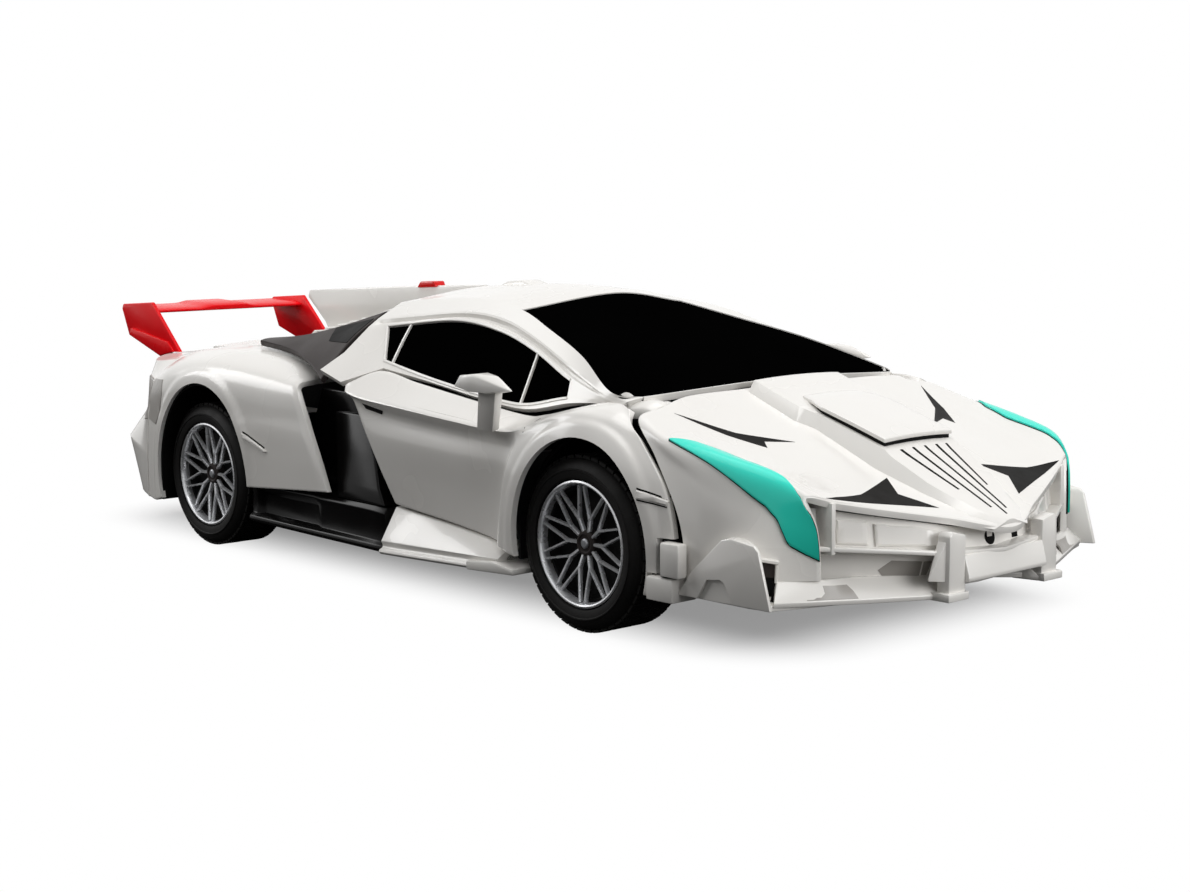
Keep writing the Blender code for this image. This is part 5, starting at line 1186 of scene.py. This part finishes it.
PEDESTAL_TOP = ((126, 68.5), (144, 62.0), (149, 60.2), (160, 56.6), (171.5, 52.8), (174, 51.0), (185.7, 44.5),
                (197.8, 37.9), (203.6, 34.5))
PEDESTAL_HALF = ((126, 18), (144, 18), (149.5, 15.4), (171.5, 15.2), (174, 15.4), (185.7, 13.6), (197.8, 8.6),
                 (203.6, 1.2))
PEDESTAL_DEPTH = ((126, 7.0), (186, 7.0), (202.8, 1.6))
SCOOP_TOP = ((139, 64.4), (144, 63.7), (149, 62.4), (160, 59.0), (171.5, 55.2))
SCOOP_HALF = ((139, 11.5), (149, 15.0), (171.5, 14.6))
SCOOP_DEPTH, MOUTH_SHADE_DEPTH = ((139, 1.2), (172, 1.2)), ((146, 2.6), (171, 2.6))
# Mesh lines along the three slabs
PEDESTAL_LINES = np.linspace(126.2, 202.8, 45)
SCOOP_LINES, MOUTH_SHADE_LINES = np.linspace(139, 171.5, 21), np.linspace(146, 170.9, 17)
# How much the slabs rise from their edges to their middle
CROWN = 0.5
UPPER_WEDGE = ((129.5, 53.0), (143.0, 43.0), (153.0, 30.0), (149.5, 38.5), (152.5, 40.5), (143.5, 46.5))
LOWER_WEDGE = ((182.2, 50.5), (181.5, 36.0), (176.5, 19.6), (184.0, 24.0), (192.4, 17.4), (188.4, 30.0))
# The stripes towards the tip: start across the hood, end along and across it, and half the width
STRIPES = ((-9.5, 190.0, -6.0, 0.55), (-4.4, 198.0, -2.4, 0.5), (0.6, 201.0, 0.4, 0.45),
           (5.6, 199.0, 2.8, 0.5), (10.0, 190.0, 6.4, 0.45))
STRIPES_START = 173.0


def slab(tops, halves, depths, xs, bevel, lower=0.0, inset=0.0, flare=0.0):
    """A plate with a slight crown along the middle of the hood."""
    rings = []
    for x in xs:
        top, half, depth = read(tops, x) - lower, read(halves, x) - inset, read(depths, x)
        crown = [(s, top + CROWN * (1 - s * s)) for s in np.linspace(-1, 1, 13)]
        foot = [((half + flare) * s, z - depth) for s, z in reversed(crown)]
        rings.append(section(x, 1, [(half * s, z) for s, z in crown] + foot))
    return Shape().loft(rings, bevel, angle=50.0)


pedestal = slab(PEDESTAL_TOP, PEDESTAL_HALF, PEDESTAL_DEPTH, PEDESTAL_LINES, bevel=0.35, flare=5.0)
pedestal = ground_of(pedestal.done("hood_pedestal", "white_body", "nose", "hood_plate"))
scoop = slab(SCOOP_TOP, SCOOP_HALF, SCOOP_DEPTH, SCOOP_LINES, bevel=0.3)
scoop.done("hood_scoop_plate", "white_body", "nose")
# Under the scoop plate: a black slab of painted shade
mouth_shade = slab(SCOOP_TOP, SCOOP_HALF, MOUTH_SHADE_DEPTH, MOUTH_SHADE_LINES, bevel=0.1, lower=1.1, inset=0.6)
mouth_shade.done("hood_scoop_mouth", "shade", "nose")
wedges = [([(x, side * y) for x, y in wedge], 0.07, 0.3) for side in SIDES.values()
          for wedge in (UPPER_WEDGE, LOWER_WEDGE)]
plates("hood_wedge_print", "ink", "nose", hood, "top", *wedges)
stripes = []
for start, x_end, end, half in STRIPES:
    tip = half * 0.7
    outline = ((STRIPES_START, start - half), (x_end, end - tip), (x_end, end + tip),
               (STRIPES_START, start + half))
    stripes.append((outline, 0.06, 0.3))
plates("nose_tip_stripes", "ink", "nose", pedestal, "top", *stripes)

# The nose hinge: its lugs and cross bars, under small covers at the foot of the windscreen

# Along a cover: place, top, inner and outer edge
HINGE_COVER = ((104, 62.6, 49.0, 57.6), (110, 63.9, 48.6, 57.4), (116, 64.7, 48.2, 57.0),
               (120, 64.9, 48.0, 56.8), (122.6, 64.5, 48.2, 56.4), (124.0, 63.8, 48.6, 56.0),
               (124.6, 62.4, 49.0, 55.6))
HINGE_LUG = ((119.2, 63.2), (121.2, 64.4), (123.2, 64.0), (123.4, 61), (131, 56), (131, 52), (119.2, 55))
LUG_WIDTH = (46.9, 50.2)
# The cross bars: extents along, across and up
COWL_BAR = ((101, 109), (-53.6, 53.6), (58.0, 62.0))
NOSE_BAR = ((126, 131), (-50.2, 50.2), (52.0, 56.0))

lugs = Shape()
for name, side in SIDES.items():
    rings = [section(x, side, ((inner, z - 5), (inner, z - 0.6), (inner + 2.4, z), (outer - 3.2, z - 0.3),
                               (outer - 0.6, z - 1.8), (outer, z - 5))) for x, z, inner, outer in HINGE_COVER]
    Shape().loft(rings, 0.5, angle=40.0).done(f"hinge_cover_{name}", "white_body", "torso", smooth=45.0)
    lugs.hull([(x, side * y, z) for x, z in HINGE_LUG for y in LUG_WIDTH], 0.4)
Shape().block(*COWL_BAR, 0.5).done("cowl_cross_bar", "frame_plastic", "torso", "cowl_bar")
lugs.done("nose_hinge_lugs", "white_body", "nose")
Shape().block(*NOSE_BAR, 0.5).done("nose_cross_bar", "frame_plastic", "nose", "nose_frame")

# Side vanes with pockets of painted shade ahead of them, and the shoulder covers

VANE_EDGE = ((149.0, 17.0), (149.4, 18.2), (153.9, 24.0), (164.6, 33.6), (168.1, 34.3), (176.0, 33.4),
             (177.6, 32.0), (181.8, 17.3))
VANE_INSIDE = VANE_EDGE[:4] + ((166.1, 34.3), (169.0, 33.4), (169.6, 32.0), (171.8, 17.3))
# How far out each line of the vane lies, and how far its recess reaches
VANE_LAYERS = ((64.6, VANE_INSIDE), (69.8, VANE_EDGE), (70.8, VANE_EDGE))
RECESS_ACROSS = (69.9, 72)
VANE_RECESS = ((154.6, 15.2), (159.5, 22.6), (164.1, 23.2), (165.8, 22.6), (169.8, 15.2))
# The pocket's floor and roof, plates of painted shade in black and dark grey, and the two strips of its brim,
# in places on the nose
POCKET_ROWS = np.linspace(3.05, 3.37, 9)
POCKET = (("floor", "shade", 0.12, 0.62), ("roof", "dark_grey", 0.62, 1.0))
POCKET_BRIM = (((3.04, 3.41), (1.03, 1.03), 0.55, 1.5), ((3.39, 3.39), (1.03, 0.5), 0.4, 0.8))
# The shoulder's pieces: body, rounding, and extents along, across and up
SHOULDER = {"cover": ("nose", 0.7, (145.0, 152.0), (70.2, 73.8), (21.8, 31.0)),
            "end": ("torso", 0.5, (139.4, 149.3), (64.0, 73.4), (14.9, 21.3))}

for name, side in SIDES.items():
    vane = Shape().loft([[(x, side * out, z) for x, z in line] for out, line in VANE_LAYERS], 0.4)
    vane = vane.raw(f"nose_vane_{name}", "white_body")
    carve(vane, Shape().prism(VANE_RECESS, "Y", *across(side, RECESS_ACROSS), 0))
    settle_on(vane, "white_body", "nose")
    for label, finish, low, high in POCKET:
        columns = nose.to_side(side, np.linspace(low, high, 7))
        lining = nose.wall(POCKET_ROWS, columns, thick=0.7, lift=0.15)
        lining.done(f"nose_pocket_{label}_{name}", finish, "nose")
    brim = Shape()
    for us, vs, half, height in POCKET_BRIM:
        brim.strip(nose, np.linspace(*us, 9), nose.to_side(side, np.linspace(*vs, 9)), half, height)
    brim.done(f"nose_pocket_brim_{name}", "white_body", "nose")
    for label, (body, rounding, *extents) in SHOULDER.items():
        piece = Shape().side_block(side, *extents, rounding)
        piece.done(f"shoulder_{label}_{name}", "white_body", body)

# Front bumper: a sloped splitter on each side, a raised middle, two teeth, and the recessed wall with its bar

SPLITTER_LIP = ((179.0, 66.6, 17.3), (184.7, 53.0, 16.9), (189.6, 41.4, 16.5), (200.2, 16.4, 16.0))
SPLITTER_TOP = ((176.4, 62.4, 23.3), (182.8, 52.8, 23.2), (183.4, 40.0, 22.4), (193.8, 15.4, 21.4))
SPLITTER_FLOOR = ((149.6, 68.2), (172, 68.2), (178.4, 67.2), (196, 16), (180, 0), (160, 0), (149.6, 60))
SPLITTER_FLOOR_Z, TOOTH_ALONG = (16.4, 18.0), (196.8, 200.9)
# Extents along, across and up
TOOTH_FOOT = ((194, 202.0), (16.4, 25.0), (16.0, 18.2))
INTAKE_UPRIGHT = ((172, 184.2), (48.8, 50.4), (29.5, 43.0))
# A black block of painted shade between the vane and the splitter's slope
SPLITTER_END_SHADE = ((165, 176.0), (54, 63.2), (17.6, 23.4))
TOOTH = ((16.6, 17), (23.6, 17), (23.4, 33.0), (22.2, 34.2), (16.8, 33.0))
TOOTH_WEB = ((199.8, 23.0, 32.4), (199.8, 23.0, 21.0), (197.6, 28.4, 21.6), (194.0, 23.0, 21.0),
             (196.8, 23.0, 32.4))
# The raised middle's section, and half its width
CHIN, CHIN_HALF = ((202.2, 20.5), (202.4, 21.4), (200.8, 27.4), (195, 27.4), (195, 20.5)), 17
BAR_LINE = ((182.4, 53.0, 31.2), (191.6, 36.0, 29.6), (198.6, 23.0, 28.3), (200.2, 13.0, 27.7),
            (201.4, 0.0, 27.1))
HOOD_EDGE = ((0, 33.6), (19, 37.2), (38, 40.8), (47, 42.6), (56, 44.4))
INTAKE_PANES = (((38.4, 31.0), (46.0, 31.8), (46.0, 38.2), (38.4, 37.2)),
                ((18.0, 29.6), (36.6, 30.6), (36.6, 36.4), (26.2, 35.0), (18.0, 32.8)))
# The splitter's notch and the intake's duct are grey plates of painted shade, in place of recesses
SPLITTER_NOTCH = ((58.0, 18.6), (54.7, 22.0), (45.4, 21.4), (44.6, 18.2))
INTAKE_DUCT = ((33.7, 23.7), (30.8, 26.2), (20.0, 25.2), (21.2, 20.6), (32.4, 22.1))
# Two holes in the intake wall, drawn as black plates of painted shade
INTAKE_HOLE_SHADES = (ellipse((-0.8, 29.9), 2.0, 2.0, 24), ((9.4, 28.4), (12.2, 28.4), (12.2, 31.2), (9.4, 31.2)))

front = Shape()
for name, side in SIDES.items():
    rings = []
    for (x, y, z), (back, inner, top) in zip(SPLITTER_LIP, SPLITTER_TOP):
        ring = ((x, y, z), (x + 0.3, y, z + 1.3), (back, inner, top), (back - 1.4, inner - 0.6, top),
                (back - 1.4, inner - 0.6, z))
        rings.append(on_side(side, ring))
    front.loft(rings, 0.3, angle=25.0)
    front.prism([(x, side * y) for x, y in SPLITTER_FLOOR], "Z", *SPLITTER_FLOOR_Z, 0.3)
    front.loft([section(x, side, TOOTH) for x in TOOTH_ALONG], 0.4, angle=25.0)
    front.side_block(side, *TOOTH_FOOT)
    front.hull(on_side(side, TOOTH_WEB), 0.3)
    front.side_block(side, *INTAKE_UPRIGHT, 0.3)
    Shape().side_block(side, *SPLITTER_END_SHADE, 0.2).done(f"splitter_end_{name}", "shade", "nose")
front.loft([[(x, y, z) for x, z in CHIN] for y in (-CHIN_HALF, 0, CHIN_HALF)], 0.3, angle=25.0)
front = ground_of(front.done("front_splitter_and_teeth", "white_body", "nose", "front_bumper"))

line = [*on_side(-1, BAR_LINE), *reversed(BAR_LINE[:-1])]
# The bar, the wall behind it up to the hood's edge, and the wall below it
intake = Shape().loft([[(x, y, z + 0.6), (x, y, z - 0.6), (x - 13, y, z - 0.6), (x - 13, y, z + 0.6)]
                       for x, y, z in line], 0.3, angle=40.0)
tops = [read(HOOD_EDGE, abs(y)) - 2.2 for _, y, _ in line]
intake.loft([[(x - 4.2, y, z), (x - 5.2, y, top), (x - 8.2, y, top), (x - 8.2, y, z)]
             for (x, y, z), top in zip(line, tops)])
intake.loft([[(x - 9, y, 17.0), (x - 6, y, z), (x - 9, y, z), (x - 12, y, 17.0)] for x, y, z in line])
intake = ground_of(intake.done("front_intake_wall", "white_body", "nose"))
panes, recess_shades = [], Shape()
for side in SIDES.values():
    panes += [([(side * y, z) for y, z in pane], 0.9, 1.2, 0.5) for pane in INTAKE_PANES]
    drape(recess_shades, front, "front", [(side * y, z) for y, z in SPLITTER_NOTCH], 0.1, 0.5)
    drape(recess_shades, intake, "front", [(side * y, z) for y, z in INTAKE_DUCT], 0.15, 0.5)
plates("intake_panes", "white_body", "nose", intake, "front", *panes)
recess_shades.done("splitter_recesses", "grey_body", "nose")
plates("intake_holes", "shade", "nose", intake, "front", *((hole, 0.1, 0.4) for hole in INTAKE_HOLE_SHADES))

# Finishes of the CAD shapes that show as they are

for label, part in frame["nodes"].items():
    if not part.hide_render:
        slot = next(s["material_slot"] for s in frame["record"]["subparts"] if s["node"] == label)
        part.data.materials.clear()
        part.data.materials.append(FINISH[slot])

# Studio: the camera that was fitted to the photo, three soft lamps, a white background and a pale floor

PHOTO_WIDTH_PX, FOCAL_LENGTH_PX, SENSOR = 1190, 1998, 36.0
CAMERA_PLACE = (0.517, -0.431, 0.1226)
AZIMUTH, ELEVATION, ROLL = (math.radians(a) for a in (48.0, 7.31, -0.44))
# Each lamp: place, aim, size and power
LAMPS = {"overhead": ((0.10, 0.02, 1.0), (0, 0, 0), (1.1, 0.9), 7.4),
         "front": ((1.0, 0.12, 0.36), (0.1, 0, 0.04), (0.6, 0.5), 4.8),
         "rear_side": ((-0.70, -0.45, 0.45), (-0.05, 0, 0.04), (0.5, 0.4), 3.0)}
# The stretch of floor that shows the car's shadow, and how far it fades into white
SHADOW_MIDDLE, SHADOW_HALF, SHADOW_FADE = (-0.005, 0.010, 0.0), (0.145, 0.040, 0.0), 0.048


def aim_camera(scene):
    camera = add("camera", bpy.data.cameras.new("camera"))
    camera.data.sensor_width, camera.data.lens = SENSOR, SENSOR * FOCAL_LENGTH_PX / PHOTO_WIDTH_PX
    place = Matrix.Translation(CAMERA_PLACE)
    for angle, axis in ((AZIMUTH, "Z"), (math.pi / 2 - ELEVATION, "X"), (ROLL, "Z")):
        place = place @ Matrix.Rotation(angle, 4, axis)
    camera.matrix_world = place
    scene.camera = camera


def light_room(scene):
    for name, (place, aim, size, power) in LAMPS.items():
        light = bpy.data.lights.new(name, "AREA")
        light.shape, light.size, light.size_y, light.energy = "RECTANGLE", size[0], size[1], power
        lamp = add(name, light)
        lamp.location = place
        lamp.rotation_euler = (Vector(aim) - Vector(place)).to_track_quat("-Z", "Y").to_euler()
    scene.world = bpy.data.worlds.new("studio")
    scene.world.use_nodes = True
    tree = scene.world.node_tree
    path = node(tree, "ShaderNodeLightPath").outputs
    seen = maths(tree, "MAXIMUM", path["Is Camera Ray"], path["Is Glossy Ray"])
    seen = maths(tree, "MAXIMUM", seen, path["Is Transmission Ray"])
    strength = node(tree, "ShaderNodeMapRange", {"To Min": 0.2, "To Max": 1.0}, {"Value": seen})
    background = tree.nodes["Background"]
    join(tree, background, {"Strength": strength})
    background.inputs["Color"].default_value = (1, 1, 1, 1)


def lay_floor():
    """Pale paper that shows the car's shadow and fades into the white round it."""
    work = bmesh.new()
    bmesh.ops.create_grid(work, x_segments=2, y_segments=2, size=4.0)
    mesh = bpy.data.meshes.new("floor")
    work.to_mesh(mesh)
    work.free()
    paper = bpy.data.materials.new("white_paper_floor")
    paper.use_nodes = True
    tree = paper.node_tree
    tree.nodes.clear()
    seen = node(tree, "ShaderNodeLightPath").outputs["Is Camera Ray"]
    matt = node(tree, "ShaderNodeBsdfDiffuse", links={"Color": tinted(tree, "#3C3C3C", "#F7F7F7", seen)})
    white = node(tree, "ShaderNodeEmission", {"Color": (1, 1, 1, 1), "Strength": 1.0})

    def vectors(operation, source, value=(0, 0, 0)):
        return node(tree, "ShaderNodeVectorMath", {1: value}, {0: source}, operation=operation)

    place = node(tree, "ShaderNodeTexCoord").outputs["Object"]
    off_middle = vectors("ABSOLUTE", vectors("SUBTRACT", place, SHADOW_MIDDLE))
    past = vectors("MAXIMUM", vectors("SUBTRACT", off_middle, SHADOW_HALF))
    far = vectors("LENGTH", past).outputs["Value"]
    fade = node(tree, "ShaderNodeMapRange", {"From Min": 0.0, "From Max": SHADOW_FADE, "To Min": 0.28},
                {"Value": far}, interpolation_type="SMOOTHSTEP")
    share = maths(tree, "MULTIPLY", fade, seen)
    both = node(tree, "ShaderNodeMixShader", links={0: share, 1: matt, 2: white})
    node(tree, "ShaderNodeOutputMaterial", links={"Surface": both})
    mesh.materials.append(paper)
    floor = add("floor", mesh)


bpy.context.scene.view_settings.view_transform = "Standard"
aim_camera(bpy.context.scene)
light_room(bpy.context.scene)
lay_floor()
